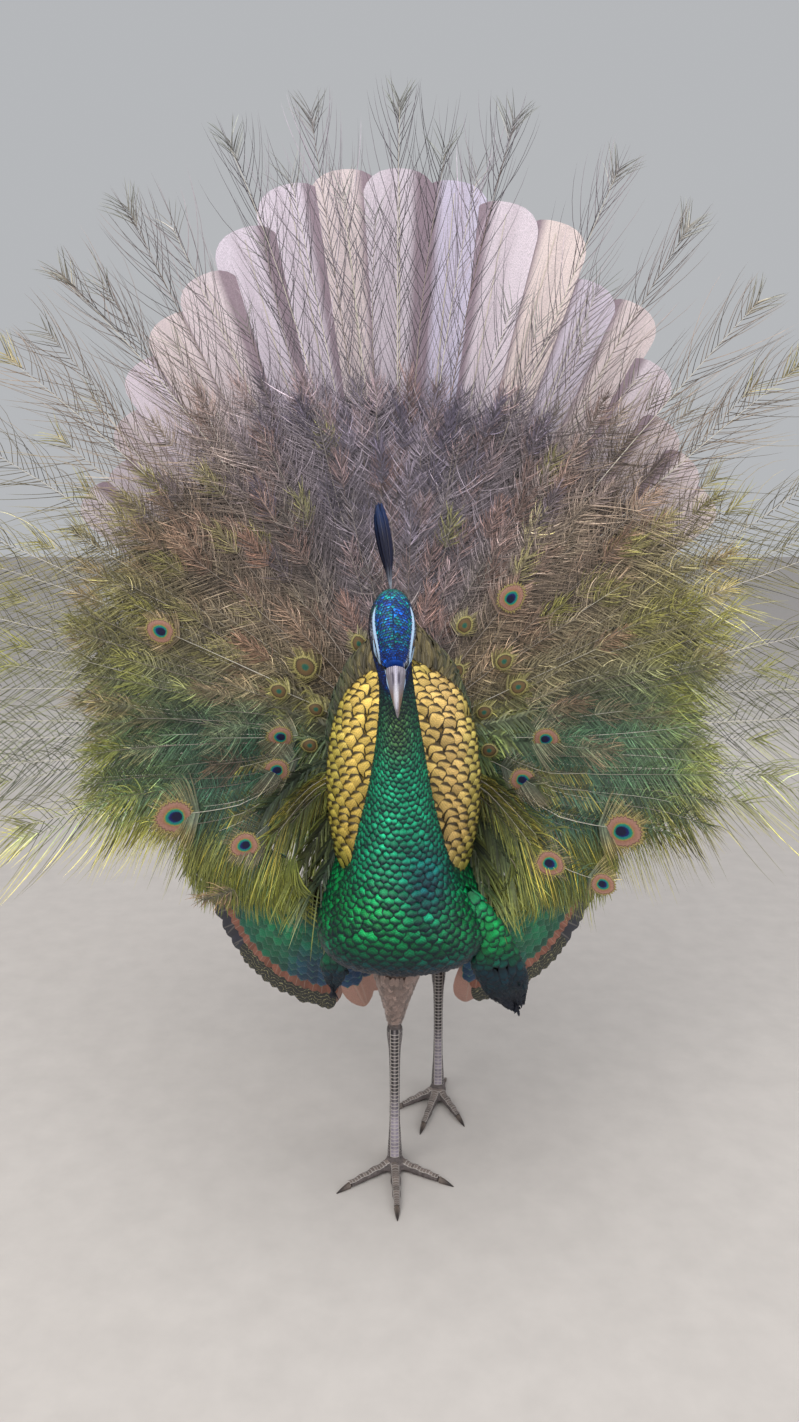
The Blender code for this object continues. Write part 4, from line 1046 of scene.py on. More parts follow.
def wing_thickness(row, column, low):
    across = np.clip((column - WING_TOP) / (low - WING_TOP), 0, 1)
    along = np.clip((row / 100.0 - 0.10) / 0.50, 0, 1)
    return 0.0020 + 0.011 * (1 - along) * np.sin(np.pi * (0.08 + 0.84 * across))


COVERT_ROOT, COVERT_STEP, COVERT_ROWS, COVERT_LONG = 0.590, 0.049, 9, 0.145
# kind, part of the reach at root, part at tip, first and last degree, width, rows, lift, depth
WING_ROWS = (("flight", 0.42, 1.00, 3, 120, 0.0250, 1, 0.0000, 0.0010),
             ("barred", 0.52, 0.975, 57, 89, 0.0190, 2, 0.0022, 0.0014),
             ("rust", 0.63, 0.800, 27, 92, 0.0160, 1, 0.0032, 0.0010),
             ("drape", 0.06, 0.30, 5, 60, 0.0019, 7, 0.0120, 0.0050)) + tuple(
    ("covert", COVERT_ROOT - COVERT_STEP * k, COVERT_ROOT - COVERT_STEP * k + COVERT_LONG,
     7, 116, 0.0200 - 0.0005 * k, 1, 0.0048 + 0.0005 * k, 0.0034) for k in range(COVERT_ROWS))
LINING_ROWS = (("lining", 0.30, 0.72, 18, 120, 0.0230, 1, -0.0022, 0.0010),
               ("lining", 0.20, 0.50, 36, 120, 0.0150, 2, -0.0042, 0.0020),
               ("lining", 0.16, 0.32, 62, 120, 0.0085, 2, -0.0060, 0.0026))


def wing_shade(kind, part, fall, tip, rng):
    """Colour of a wing feather's points, by its kind, where it lies and how far along."""
    chance = rng.random(len(part))[:, None] * np.ones(part.shape)
    if kind == "covert":
        # a brighter emerald patch over the middle of the coverts, partly their own green and partly a
        # painted sheen
        painted_sheen = np.exp(-((fall - 60) / 28) ** 2 - ((part - 0.50) / 0.24) ** 2)
        shade = blend(TEAL, TEAL_DEEP, chance * 0.8)
        shade = blend(shade, EMERALD, np.clip(painted_sheen * (0.5 + 0.6 * chance), 0, 1))
        shade = blend(shade, BLUE_PATCH, ease((fall - 66) / 16) * ease((part - 0.40) / 0.2) * 0.6)
        shade = blend(shade, FLIGHT_INK, ease((part - 0.50) / 0.16) * ease((48 - fall) / 22) * 0.85)
        # painted shade: each covert darker towards its root, under the row that overlaps it
        return blend(shade, dye(6, 26, 34), (1 - ease(tip / 0.55)) * 0.75)
    if kind == "drape":
        grey = ease((0.20 - part) / 0.16)
        shade = blend(DRAPE_OLIVE, DRAPE_LIME, chance * tip)
        return blend(shade, WISP_GREY, grey * ease((chance - 0.25) / 0.2))
    if kind == "rust":
        return blend(RUST, dye(128, 78, 62), chance * 0.7)
    if kind == "barred":
        return BARRED_INK * np.ones(part.shape + (1,))
    if kind == "lining":
        return blend(UNDERWING, dye(54, 44, 40), chance * 0.8)
    shade = blend(FLIGHT_INK, dye(8, 26, 40), chance * 0.8)
    return blend(shade, BUFF_TIP, ease((fall - 84) / 10) * ease((part - 0.60) / 0.12))


def stacked(parts):
    """Several (points, faces, ...) made into one, each flattened to one row per point."""
    parts = [[values.reshape(-1, values.shape[-1]) for values in part] for part in parts]
    first = np.cumsum([0] + [len(part[0]) for part in parts])
    for part, start in zip(parts, first):
        part[1] = part[1] + start
    return [np.concatenate(kind) for kind in zip(*parts)]


covert_finish = plumage_finish("wing coverts", rough=0.42, metal=0.30, rim=RING_GREEN,
                               rim_from=0.88, rim_to=1.02, barbs=8.0, contrast=0.15, shaft=0.0,
                               fade=0.4)
vane_finish = plumage_finish("flight vanes", rough=0.48, metal=0.15, barbs=60.0, contrast=0.22,
                             shaft=0.22, chance=0.25)
lining_finish = plumage_finish("wing lining", rough=0.7, metal=0.0, barbs=34.0, contrast=0.22,
                               shaft=0.3, chance=0.25)
barred_finish, tree, shader = new_finish("barred scapulars", roughness=0.5, metallic=0.1)
across, along, _ = axes_of(tree, "vane")
wavy = knot(tree, "TexNoise", {"Vector": knot(tree, "NewGeometry").outputs["Position"],
                               "Scale": 130.0, "Detail": 2.0}).outputs[0]
slant = maths(tree, "ADD", times(tree, wavy, 1.7),
              times(tree, maths(tree, "ABSOLUTE", across), -1.2))
bars = maths(tree, "ADD", times(tree, along, 13.0), slant)
bars = ranged(tree, maths(tree, "SINE", times(tree, bars, 2 * math.pi)), 0.88, 1.0)
tint = mixed(tree, bars, own_dye(tree), (*BAR_CREAM, 1.0))
tree.links.new(mottle(tree, tint, 0.003, 0.8, 1.2), shader.inputs["Base Color"])
bumped(tree, shader, bars, 0.00012, 0.3)
WING_FINISH = {"covert": covert_finish, "rust": lining_finish, "barred": barred_finish,
               "flight": vane_finish, "lining": lining_finish, "drape": down_finish}
LONG_LEAF = leaf_template(np.array((0.0, 0.15, 0.3, 0.45, 0.6, 0.72, 0.82, 0.90, 0.96, 1.0)),
                          LEAF_COLUMNS, 0.2, 0.55)
rng = np.random.default_rng(31)
for label, side in WING_SIDE.items():
    low = WING_LOW[label]
    groups = {}
    for kind, at_root, at_tip, first, last, width, rows, lift, depth in WING_ROWS + LINING_ROWS:
        back = -1.0 if kind == "lining" else 1.0
        face = wing_surface(side, lambda row, column, low=low, back=back: back *
                            wing_thickness(row, column, low))
        for number in range(rows):
            shift = number * (at_tip - at_root) * 0.24
            reach = wing_reach(60.0) * (at_root + 0.6 * (at_tip - at_root))
            step = math.degrees(width * 0.62 / reach)
            fall = np.arange(first + step * 0.5 * (number % 2), min(last, low + 2.0), step)
            fall = fall + rng.normal(0, step * 0.07, len(fall))
            root = np.full(len(fall), 100.0 * (at_root + shift))
            length = wing_reach(fall) * (at_tip - at_root - (shift if kind in ("flight", "barred")
                                                             else shift * 0.4))
            length = length * rng.uniform(0.97, 1.0, len(fall))
            loose = kind == "drape"
            if loose:
                near, far = DRAPE_ROWS
                root = near + (far - near) * rng.random(DRAPE_COUNT) ** DRAPE_CROWD
                near, far = DRAPE_TURNS
                fall = near + (far - near) * rng.random(DRAPE_COUNT)
                length = rng.uniform(*DRAPE_LONG, DRAPE_COUNT)
            lean = rng.normal(*(DRAPE_LEAN if loose else (0.0, 0.03)), len(fall))
            template = LONG_LEAF if kind in ("flight", "barred", "rust") else None
            points, faces, marks = lay_leaves(face, root, fall, length, width, depth + 0.0016,
                                              proud=abs(lift) * 0.55 + 0.0010, lean=lean,
                                              cup=0.22 if kind == "covert" else 0.10,
                                              curl=0.16 if loose else 0.0, template=template)
            order = np.linspace(-1, 1, len(fall))[:, None, None] * 0.0009
            points = points + order * np.array((0.0, -1.0, 0.0)) * back
            part = at_root + shift + marks[..., 1] * (length / wing_reach(fall))[:, None]
            colour = wing_shade(kind, part, fall[:, None] * np.ones(part.shape), marks[..., 1], rng)
            marks = vane_marks(marks, rng)
            patch = root_patch(fall, root / 100.0, 130.0, 2.0, marks,
                               (0.02 + 0.2 * (side > 0), 0.02, 0.18, 0.12))
            groups.setdefault(kind, []).append((points, faces, colour, marks, patch))
    for kind, parts in groups.items():
        points, faces, colour, marks, patch = stacked(parts)
        wing = make_piece("wing_" + kind + "_" + label, points, faces, WING_FINISH[kind],
                          "covert_feathers" if kind == "covert" else "flight_feathers",
                          patch, plumage=colour, vane=marks)
        if kind == "covert":
            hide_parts("wing_coverts_" + label)
        if kind == "flight":
            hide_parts("wing_feathers_" + label)

# ---- Legs: scutes, claws and spurs ----------
# Broad horny plates step down the front of each shank and along every toe, each overlapping
# the next, with small round scales at the sides. The claws and the spur are solid dark horn.

SHANK_ROWS, LEG_COLUMNS = 60, 28
TOE_ROWS, TOE_COLUMNS = 34, 16
SHANK_SPAN = (0.192, 0.019)
PLATE_STEP, PLATE_LONG = 0.0049, 0.0066
SCALE_STEP, SCALE_LONG = 0.0036, 0.0052
TOES = {"middle": (0.0, 0.086), "inner": (58.0, 0.064), "outer": (-54.0, 0.070),
        "hind": (176.0, 0.030)}
HEADING = {"right": (2.0, 1.0), "left": (-15.0, 0.68)}
TOE_STEP, TOE_LONG = 0.0042, 0.0056
PLATE_GREY, PLATE_PALE, PLATE_DARK = dye(92, 86, 88), dye(182, 172, 172), dye(44, 40, 42)
TOE_GREY, SPUR_HORN = dye(128, 116, 110), dye(96, 84, 76)
CLAW_ROOT, CLAW_TIP, CLAW_LONG, HORN_VOXEL = dye(112, 100, 92), dye(52, 44, 42), 0.020, 0.00045


def plate_template():
    """A horny plate: straight sided, a little narrower at its free edge."""
    along, across = np.meshgrid((0.0, 0.55, 0.92, 1.0), np.linspace(-1, 1, 7), indexing="ij")
    wide = 1.0 - 0.10 * along ** 2
    return across.ravel(), along.ravel(), wide.ravel(), net(*along.shape, False)


plate_finish = plumage_finish("horny plates", rough=0.5, metal=0.0, rim=dye(196, 188, 182),
                              rim_from=0.80, rim_to=0.93, barbs=2.0, contrast=0.10, shaft=0.0,
                              chance=0.3)
claw_finish, tree, shader = mottled_finish("claw horn", 0.002, 0.75, 1.25, roughness=0.38)
bumped(tree, shader, knot(tree, "TexNoise", {"Scale": 900.0}).outputs[0], 0.0001, 0.4)
rng = np.random.default_rng(47)


def lay_plates(surface, rows, turn, length, width, proud, shade_at):
    """Horny plates one above the other: points, faces, colours and marks."""
    points, faces, marks = lay_leaves(surface, rows, turn, length, width, 0.0007, proud=proud,
                                      cup=0.02, template=plate_template())
    marks = vane_marks(marks, rng)
    colour = shade_at(np.repeat(rows, points.shape[1]), marks.reshape(-1, 3))
    return points, faces, colour, marks


def shank_shade(rows, marks):
    low = ease((rows - 26) / 14)[:, None]
    shade = PLATE_DARK * (1 - low) + dye(138, 130, 142) * low
    stripe = ((1 - ease((np.abs(marks[:, 0]) - 0.05) / 0.2)) * 0.45)[:, None]
    return shade * (1 - stripe) + PLATE_PALE * stripe


def toe_shade(rows, marks):
    return np.tile(TOE_GREY, (len(rows), 1))


for label, stand in STANDS.items():
    heights = np.linspace(*SHANK_SPAN, SHANK_ROWS)
    centres = stand + np.stack([heights * 0, heights * 0, heights], -1)
    grid = cast_sheet(tree_of(["shank_" + label]), centres, BACKWARD, LEFTWARD, LEG_COLUMNS,
                      outside=0.03)
    shank = sheet_surface(grid, normals_of(grid))
    span = (SHANK_SPAN[0] - SHANK_SPAN[1]) / (SHANK_ROWS - 1)
    parts = []
    for front, arc in ((LEG_COLUMNS / 2, 0.0125), (0.0, 0.0100)):
        rows = np.arange(0.0, SHANK_ROWS - 2.0, PLATE_STEP / span)
        parts.append(lay_plates(shank, rows, np.full(len(rows), front), PLATE_LONG, arc, 0.0007,
                                shank_shade))
    row, column = pad_roots(grid, SCALE_STEP, SCALE_STEP * 0.95, rng, 0.08)
    keep = np.abs(np.cos(column * 2 * np.pi / LEG_COLUMNS)) < 0.72
    points, faces, marks = lay_leaves(shank, row[keep], column[keep], SCALE_LONG,
                                      SCALE_STEP * 1.05, 0.0008, proud=0.0003, cup=0.12)
    marks = vane_marks(marks, rng)
    parts.append((points, faces, PLATE_GREY * (0.55 + 0.6 * marks[..., 2:3]), marks))
    foot = tree_of(["foot_" + label])
    turn, spread = HEADING[label]
    for toe, (offset, length) in TOES.items():
        widen = 1.0 if toe == "hind" else spread
        heading = math.radians(turn + (-widen if label == "left" else widen) * offset)
        ahead = np.array((math.sin(heading), -math.cos(heading), 0.0))
        beside = np.array((math.cos(heading), math.sin(heading), 0.0))
        out = np.linspace(0.012, length - 0.001, TOE_ROWS)
        centres = stand + out[:, None] * ahead + np.array((0.0, 0.0, 0.0035))
        grid = cast_sheet(foot, centres, (0.0, 0.0, 1.0), beside, TOE_COLUMNS, outside=0.016)
        top = sheet_surface(grid, normals_of(grid))
        pace = (out[-1] - out[0]) / (TOE_ROWS - 1)
        rows = np.arange(0.0, TOE_ROWS - 1.5, TOE_STEP / pace)
        girth = np.interp(rows, (0, TOE_ROWS - 1), (0.0125, 0.0078))
        for row, width in zip(rows, girth):
            parts.append(lay_plates(top, np.array([row]), np.array([0.0]), TOE_LONG, width, 0.0006,
                                    toe_shade))
        points, quads, _ = remeshed(["claw_%s_%s" % (toe, label)], HORN_VOXEL, 0.0, 2)
        along = np.clip(((points - stand) @ ahead - length) / CLAW_LONG, 0, 1)
        shade = blend(CLAW_ROOT, CLAW_TIP, ease(along * 1.2))
        claw = make_piece("claw_horn_%s_%s" % (toe, label), points, quads, claw_finish, "horn",
                          spread_patch(len(points)), plumage=shade)
        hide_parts("claw_%s_%s" % (toe, label))
    points, faces, colour, marks = stacked(parts)
    make_piece("leg_plates_" + label, points, faces, plate_finish, "leg_scales",
               np.stack([0.75 + (points[:, 0] - stand[0]) * 1.2, 0.02 + points[:, 2] * 0.6], -1),
               plumage=colour, vane=marks)
    points, quads, _ = remeshed(["spur_" + label], HORN_VOXEL, 0.0, 2)
    spur = make_piece("spur_horn_" + label, points, quads, claw_finish, "horn",
                      spread_patch(len(points)), plumage=SPUR_HORN)
    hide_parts("spur_" + label)

# ---- Train ----------
# The raised train is made of long quills set in the rump and fanned in overlapping layers,
# the short ones in front. Each quill carries loose hair-like barbs on both sides, and ends in
# a ringed eye, a soft brush or, on the longest, a forked tip. Pale shafts show between.

FAN_HUB = np.array((0.0, 0.106, 0.520))
WING_WRAP = 0.160                          # how far the lowest feathers come over the wings
BARB_POINTS = 6
BARB_TURN, BARB_BEND = 58.0, 0.62          # degrees from the shaft, and how much of it bends away
# reach to the eye's middle, eye width, turns of the ringed eyes, turns of the small pale ones
EYED = ((0.120, 0.023, (), (-70, -92, 40, 72, 95)), (0.140, 0.025, (), (-23,)),
        (0.160, 0.035, (-99, -88, 102), (-53,)), (0.176, 0.026, (), (-69, 30, 54, 67)),
        (0.196, 0.036, (-114, 89, 119), ()), (0.242, 0.042, (39,), ()),
        (0.285, 0.051, (-104, 107), ()), (0.275, 0.032, (119,), ()), (0.361, 0.042, (-67,), ()))
# reach and turns of the feathers that end in a coppery brush, and in a dark mauve one that is painted
# shade, for an eye that lies in shade
COPPERY = ((0.205, (-22, 12)), (0.262, (-88, -60, 80)), (0.292, (-77, -124, 92)),
           (0.350, (-38, 24, 66)), (0.425, (-50, 49, -84)))
SHADED_EYE_BRUSHES = ((0.478, (-24, -17, 17, 25)), (0.446, (-10, 0, 9)), (0.400, (-30, -4, 33)))
# reach, feathers, turn to each side, barb length, barb spacing
LAYERS = ((0.190, 28, 114, 0.036, 0.0028), (0.250, 34, 112, 0.046, 0.0027),
          (0.310, 40, 109, 0.055, 0.0027), (0.365, 44, 108, 0.063, 0.0028),
          (0.420, 46, 104, 0.069, 0.0029), (0.470, 46, 101, 0.073, 0.0031),
          (0.530, 42, 97, 0.076, 0.0034))
# a rear layer of near-black barbs behind the others: painted shade in the gaps between the front
# layers
BACKING = (0.450, 46, 106, 0.055, 0.0044)
FRINGE_FEATHERS, FRINGE_TURNS, FRINGE_REACH = 24, (96.0, 121.0), (0.150, 0.262)
NEAR_FEATHERS, NEAR_TURNS, NEAR_REACH = 50, (66.0, 146.0), (0.090, 0.180)
LONG_FEATHERS, LONG_TURN = 66, 104
BRUSH, LONG_BRUSH, FORK = 0.046, 0.056, 0.024          # lengths of a feather's soft end
MAUVE, BRONZE, OLIVE = dye(140, 130, 140), dye(150, 130, 106), dye(146, 140, 100)
FAN_GREEN, FAN_DEEP, LIME, STRAW = (dye(84, 124, 92), dye(36, 90, 74), dye(172, 170, 74),
                                    dye(204, 178, 62))
# the second colour here, dark mauve, is painted shade: the look of an eye that lies in shade
COPPER_TIP, SHADED_EYE_TIP, ROSE = dye(172, 126, 106), dye(84, 78, 108), dye(178, 136, 118)
TIP_GREY = dye(132, 140, 120)
QUILL, QUILL_DULL = dye(232, 224, 208), dye(120, 100, 92)


def fan_depth(reach, turn):
    away = np.abs(turn)
    wrap = ((WING_WRAP + 0.05 * ease((away - 106) / 16)) * ease((away - 86) / 22) *
            ease((reach - 0.12) / 0.08) * (1 - 0.60 * ease((reach - 0.20) / 0.18)))
    return (0.085 * np.sin(np.pi / 2 * np.minimum(reach / 0.45, 1.0)) -
            0.045 * ease((reach - 0.45) / 0.45) - 0.34 * reach * ease((away - 60) / 55) - wrap)


def layer_front(reach):
    """How far forward a train feather of this reach lies: the short ones are in front."""
    return 0.030 * (1 - reach / 0.55)


def fan_place(turn, reach, front):
    """A point of the fan: degrees from straight up, metres from the hub, metres forward."""
    swing = np.radians(turn)
    return np.stack([FAN_HUB[0] + reach * np.sin(swing),
                     FAN_HUB[1] + fan_depth(reach, turn) - front,
                     FAN_HUB[2] + reach * np.cos(swing)], -1)


def train_reach(turn):
    away = np.abs(turn)
    return (0.835 - 0.085 * ease(away / 55) - 0.105 * ease((away - 50) / 40) -
            0.170 * ease((away - 88) / 24))


def dense_reach(turn):
    """How far out the fan is closed; past this only the long thin feathers reach."""
    away = np.abs(turn)
    return (0.495 + 0.075 * np.sin(np.pi * np.minimum(away, 90) / 90) ** 2 -
            0.065 * ease((away - 62) / 34))


def fan_shade(turn, reach, part):
    """Barb colour over the fan: mauve above, bronze and olive beside, green and lime below."""
    away = np.abs(turn)
    shade = blend(MAUVE, BRONZE, ease((away - 12) / 34) * 0.8 + 0.2 * ease((0.32 - reach) / 0.2))
    shade = blend(shade, OLIVE, ease((away - 44) / 30) * 0.7)
    shade = blend(shade, FAN_GREEN, ease((away - 68) / 22) * (1 - 0.5 * ease((reach - 0.36) / 0.12)))
    shade = blend(shade, FAN_DEEP, ease((away - 84) / 20) * ease((0.33 - reach) / 0.16) * 0.9)
    rim = ease((away - 44) / 24) * ease((reach - 0.30 + 0.0012 * (away - 60)) / 0.16)
    shade = blend(shade, LIME, np.clip(rim * (0.25 + 0.75 * part), 0, 1) * 0.55)
    hang = ease((away - 92) / 14) * ease((reach - 0.16) / 0.14) * ease((part - 0.15) / 0.6)
    return blend(shade, STRAW, hang * 0.45)


class Quill:
    """One train feather: the way it points, its length, its sideways curve and its layer."""

    def __init__(self, turn, reach, front, rng):
        self.turn, self.reach, self.front = turn, reach, front
        self.curve = rng.normal(0, 3.0)
        self.tone = math.exp(rng.normal(-0.04, 0.34))

    def turn_at(self, reach):
        part = reach / self.reach
        return self.turn + self.curve * (part - part ** 2) * 1.6


def barb_ribbons(quill, base, side, length, slope, width, droop=0.0, bend=BARB_BEND,
                 behind=0.0, dark=0.38, tip=None, tinge=0.0):
    """Flat tapering barbs from one shaft: points, faces, colours and patch."""
    count = len(base)
    part = np.linspace(0.0, 1.0, BARB_POINTS)
    slope = np.radians(slope)[:, None] * (1.0 - bend * part)
    step = length[:, None] / (BARB_POINTS - 1)
    middle = (slope[:, :-1] + slope[:, 1:]) / 2
    ahead = np.concatenate([np.zeros((count, 1)), np.cumsum(np.cos(middle) * step, 1)], 1)
    beside = np.concatenate([np.zeros((count, 1)), np.cumsum(np.sin(middle) * step, 1)], 1)
    reach = base[:, None] + ahead
    turn = (quill.turn_at(base)[:, None] +
            np.degrees(side[:, None] * beside / np.maximum(reach, 0.06)))
    wave = rng.normal(0, 0.0026, count)[:, None] * part
    wave = wave + rng.normal(0, 0.004, count)[:, None] * part ** 2
    spine = fan_place(turn, reach, quill.front - behind + wave)
    hang = droop * rng.uniform(0.6, 1.4, count)[:, None]
    spine[..., 2] -= hang * (length[:, None] * part) * part
    heading = np.gradient(spine, axis=1)
    across = unit(np.cross(heading, BACKWARD))
    half = (np.reshape(width, (-1, 1)) * (1.0 - 0.72 * part) / 2)[..., None]
    points = np.concatenate([spine + across * half, (spine - across * half)[:, :-1]], 1)
    last = BARB_POINTS - 1
    faces = [(k, k + 1, BARB_POINTS + k) for k in range(last)]
    faces += [(k + 1, BARB_POINTS + k + 1, BARB_POINTS + k) for k in range(last - 1)]
    corner = 2 * BARB_POINTS - 1
    faces = np.array(faces)[None] + np.arange(count)[:, None, None] * corner
    colour = fan_shade(turn, reach, part) * quill.tone
    if tip is not None:
        colour = blend(colour, tip, tinge * (0.45 + 0.55 * part))
    # painted shade: each barb darker at its root, where the barbs and layers over it shade it, and
    # lighter towards its free end
    colour = colour * (dark + (1.18 - dark) * part)[None, :, None]
    colour = colour * np.exp(rng.normal(-0.06, 0.50, count))[:, None, None]
    colour = np.concatenate([colour, colour[:, :-1]], 1)
    patch = np.stack([0.5 + base * np.sin(np.radians(quill.turn)) / 1.5,
                      0.55 + base * np.cos(np.radians(quill.turn)) / 2.4], -1)[:, None]
    offset = np.concatenate([part, part[:-1]])[None, :, None] * PATCH
    patch = patch + np.concatenate([offset, offset * 0.5], -1)
    return points, faces.reshape(-1, 3), colour, patch


def even_barbs(first, last, spacing):
    """Where the barbs spring from along a quill, and their sides in turn."""
    base = np.arange(first, last, spacing / 2.0)
    side = np.where(np.arange(len(base)) % 2, 1.0, -1.0)
    return base + rng.normal(0, spacing * 0.15, len(base)), side


def shaft_tube(quill, thick, dull):
    """A thin three-sided quill, thickest at its root."""
    reach = np.linspace(0.03, quill.reach - 0.004, 14)
    spine = fan_place(quill.turn_at(reach), reach, quill.front + 0.0010)
    heading = np.gradient(spine, axis=0)
    beside = unit(np.cross(heading, BACKWARD))
    front = unit(np.cross(beside, heading))
    radius = (thick * (1.0 - 0.82 * reach / quill.reach))[:, None]
    ring = [spine + radius * (math.cos(corner) * front + math.sin(corner) * beside)
            for corner in (0.0, 2.094, 4.189)]
    points = np.stack(ring, 1).reshape(-1, 3)
    faces = net(len(reach), 3)
    faces = np.concatenate([faces[:, (0, 1, 2)], faces[:, (0, 2, 3)]])
    colour = np.tile(blend(QUILL, QUILL_DULL, dull), (len(points), 1))
    patch = np.stack([0.5 + points[:, 0] / 1.5, 0.2 + points[:, 2] / 2.4], -1)
    return points, faces, colour, patch


def eye_disc(quill, wide, vivid, number):
    """The ringed eye: a shallow oval vane with a hairy rim, marked from its middle outwards."""
    rings, sides = 6, 56
    share = np.linspace(0.0, 1.0, rings)[:, None]
    turn = np.arange(sides)[None] * 2 * np.pi / sides
    hairs = np.where(np.arange(sides) % 2, rng.uniform(-0.02, 0.14, sides), -0.10)
    ragged = 1.0 + share ** 3 * hairs
    pointed = 1.0 + 0.10 * np.cos(turn) ** 5
    x = wide * 0.44 * share * np.sin(turn) * ragged
    y = wide * 0.52 * share * np.cos(turn) * pointed * ragged
    dome = 0.0125 + 0.0016 * (1 - share ** 2) * np.ones_like(x)
    centre = fan_place(quill.turn, quill.reach - wide * 0.52, quill.front)
    lean = math.radians(quill.turn)
    heading = np.array((math.sin(lean), 0.0, math.cos(lean)))
    beside = np.array((heading[2], 0.0, -heading[0]))
    points = centre + y[..., None] * heading + x[..., None] * beside
    points[..., 1] -= dome
    marks = np.stack([share * np.sin(turn), share * np.cos(turn) * np.ones_like(x),
                      np.full(x.shape, 1.0 if vivid else 0.0)], -1)
    cell = np.array((0.04 + 0.05 * (number % 18), 0.02 + 0.06 * (number // 18)))
    patch = cell + (marks[..., :2] * 0.45 + 0.5) * (0.045, 0.055)
    return points, net(rings, sides), marks, patch


barb_finish = mottled_finish("train barbs", 0.006, 0.70, 1.30, roughness=0.48, metallic=0.12,
                             sheen_weight=0.15)[0]
quill_finish = mottled_finish("quills", 0.010, 0.85, 1.08, roughness=0.35)[0]


def away_from(tree, across, up):
    """How far a point of the eye is from a middle that it is this far across and up from."""
    return maths(tree, "SQRT", maths(tree, "ADD", maths(tree, "POWER", across, 2.0),
                                     maths(tree, "POWER", up, 2.0)))


eye_finish, tree, shader = new_finish("train eyes", roughness=0.42, metallic=0.2)
across, up, vivid_share = axes_of(tree, "vane")
fuzz = knot(tree, "TexNoise", {"Vector": knot(tree, "NewGeometry").outputs["Position"],
                               "Scale": 700.0, "Detail": 2.0}).outputs[0]
fuzz = times(tree, maths(tree, "SUBTRACT", fuzz, 0.5), 0.09)
outer = maths(tree, "ADD", away_from(tree, across, up), fuzz)
heart = maths(tree, "ADD", away_from(tree, across, maths(tree, "ADD", up, 0.10)), fuzz)
vivid_outer = ring_ramp(tree, outer, (
    (0.00, dye(10, 16, 76)), (0.27, dye(10, 22, 92)), (0.32, dye(8, 112, 124)),
    (0.42, dye(22, 140, 108)), (0.47, dye(150, 136, 66)), (0.54, dye(158, 112, 92)),
    (0.78, dye(170, 128, 112)), (0.84, dye(94, 66, 56)), (0.90, dye(178, 160, 104)),
    (1.0, dye(110, 104, 52))))
vivid_all = mixed(tree, ranged(tree, heart, 0.24, 0.29, 1.0, 0.0), vivid_outer,
                  (*dye(8, 10, 54), 1.0))
dull_all = ring_ramp(tree, outer, (
    (0.00, dye(36, 92, 82)), (0.22, dye(52, 104, 84)), (0.34, dye(120, 98, 62)),
    (0.62, dye(112, 88, 62)), (0.74, dye(72, 66, 42)), (0.84, dye(176, 164, 104)),
    (0.94, dye(160, 150, 92)), (1.0, dye(88, 90, 46))))
ringed = mixed(tree, vivid_share, dull_all, vivid_all)
tree.links.new(mottle(tree, ringed, 0.002, 0.85, 1.15), shader.inputs["Base Color"])
bumped(tree, shader, knot(tree, "TexNoise", {"Scale": 1400.0}).outputs[0], 0.0002, 0.4)

rng = np.random.default_rng(59)
barb_parts, shaft_parts, disc_parts = [], [], []


def add_barbs(*barbs, **settings):
    barb_parts.append(barb_ribbons(*barbs, **settings))


def stalk(quill, thick, bright):
    dull = 0.0 if bright else 0.55 + 0.4 * rng.random()
    shaft_parts.append(shaft_tube(quill, thick, dull))


def brush_end(quill, long, tip, tinge, spacing=0.0013, length=0.036, droop=0.1):
    """The soft close barbs at a feather's end, drawn together to a blunt point."""
    base, side = even_barbs(quill.reach - long, quill.reach - 0.004, spacing)
    part = (base - quill.reach + long) / long
    span = length * (1 - 0.20 * part) * rng.uniform(0.45, 1.2, len(base))
    add_barbs(quill, base, side, span, rng.normal(58 - 34 * part, 16), 0.0010, bend=0.72,
              droop=droop, dark=0.6, tip=tip, tinge=tinge * rng.uniform(0.5, 1.0))


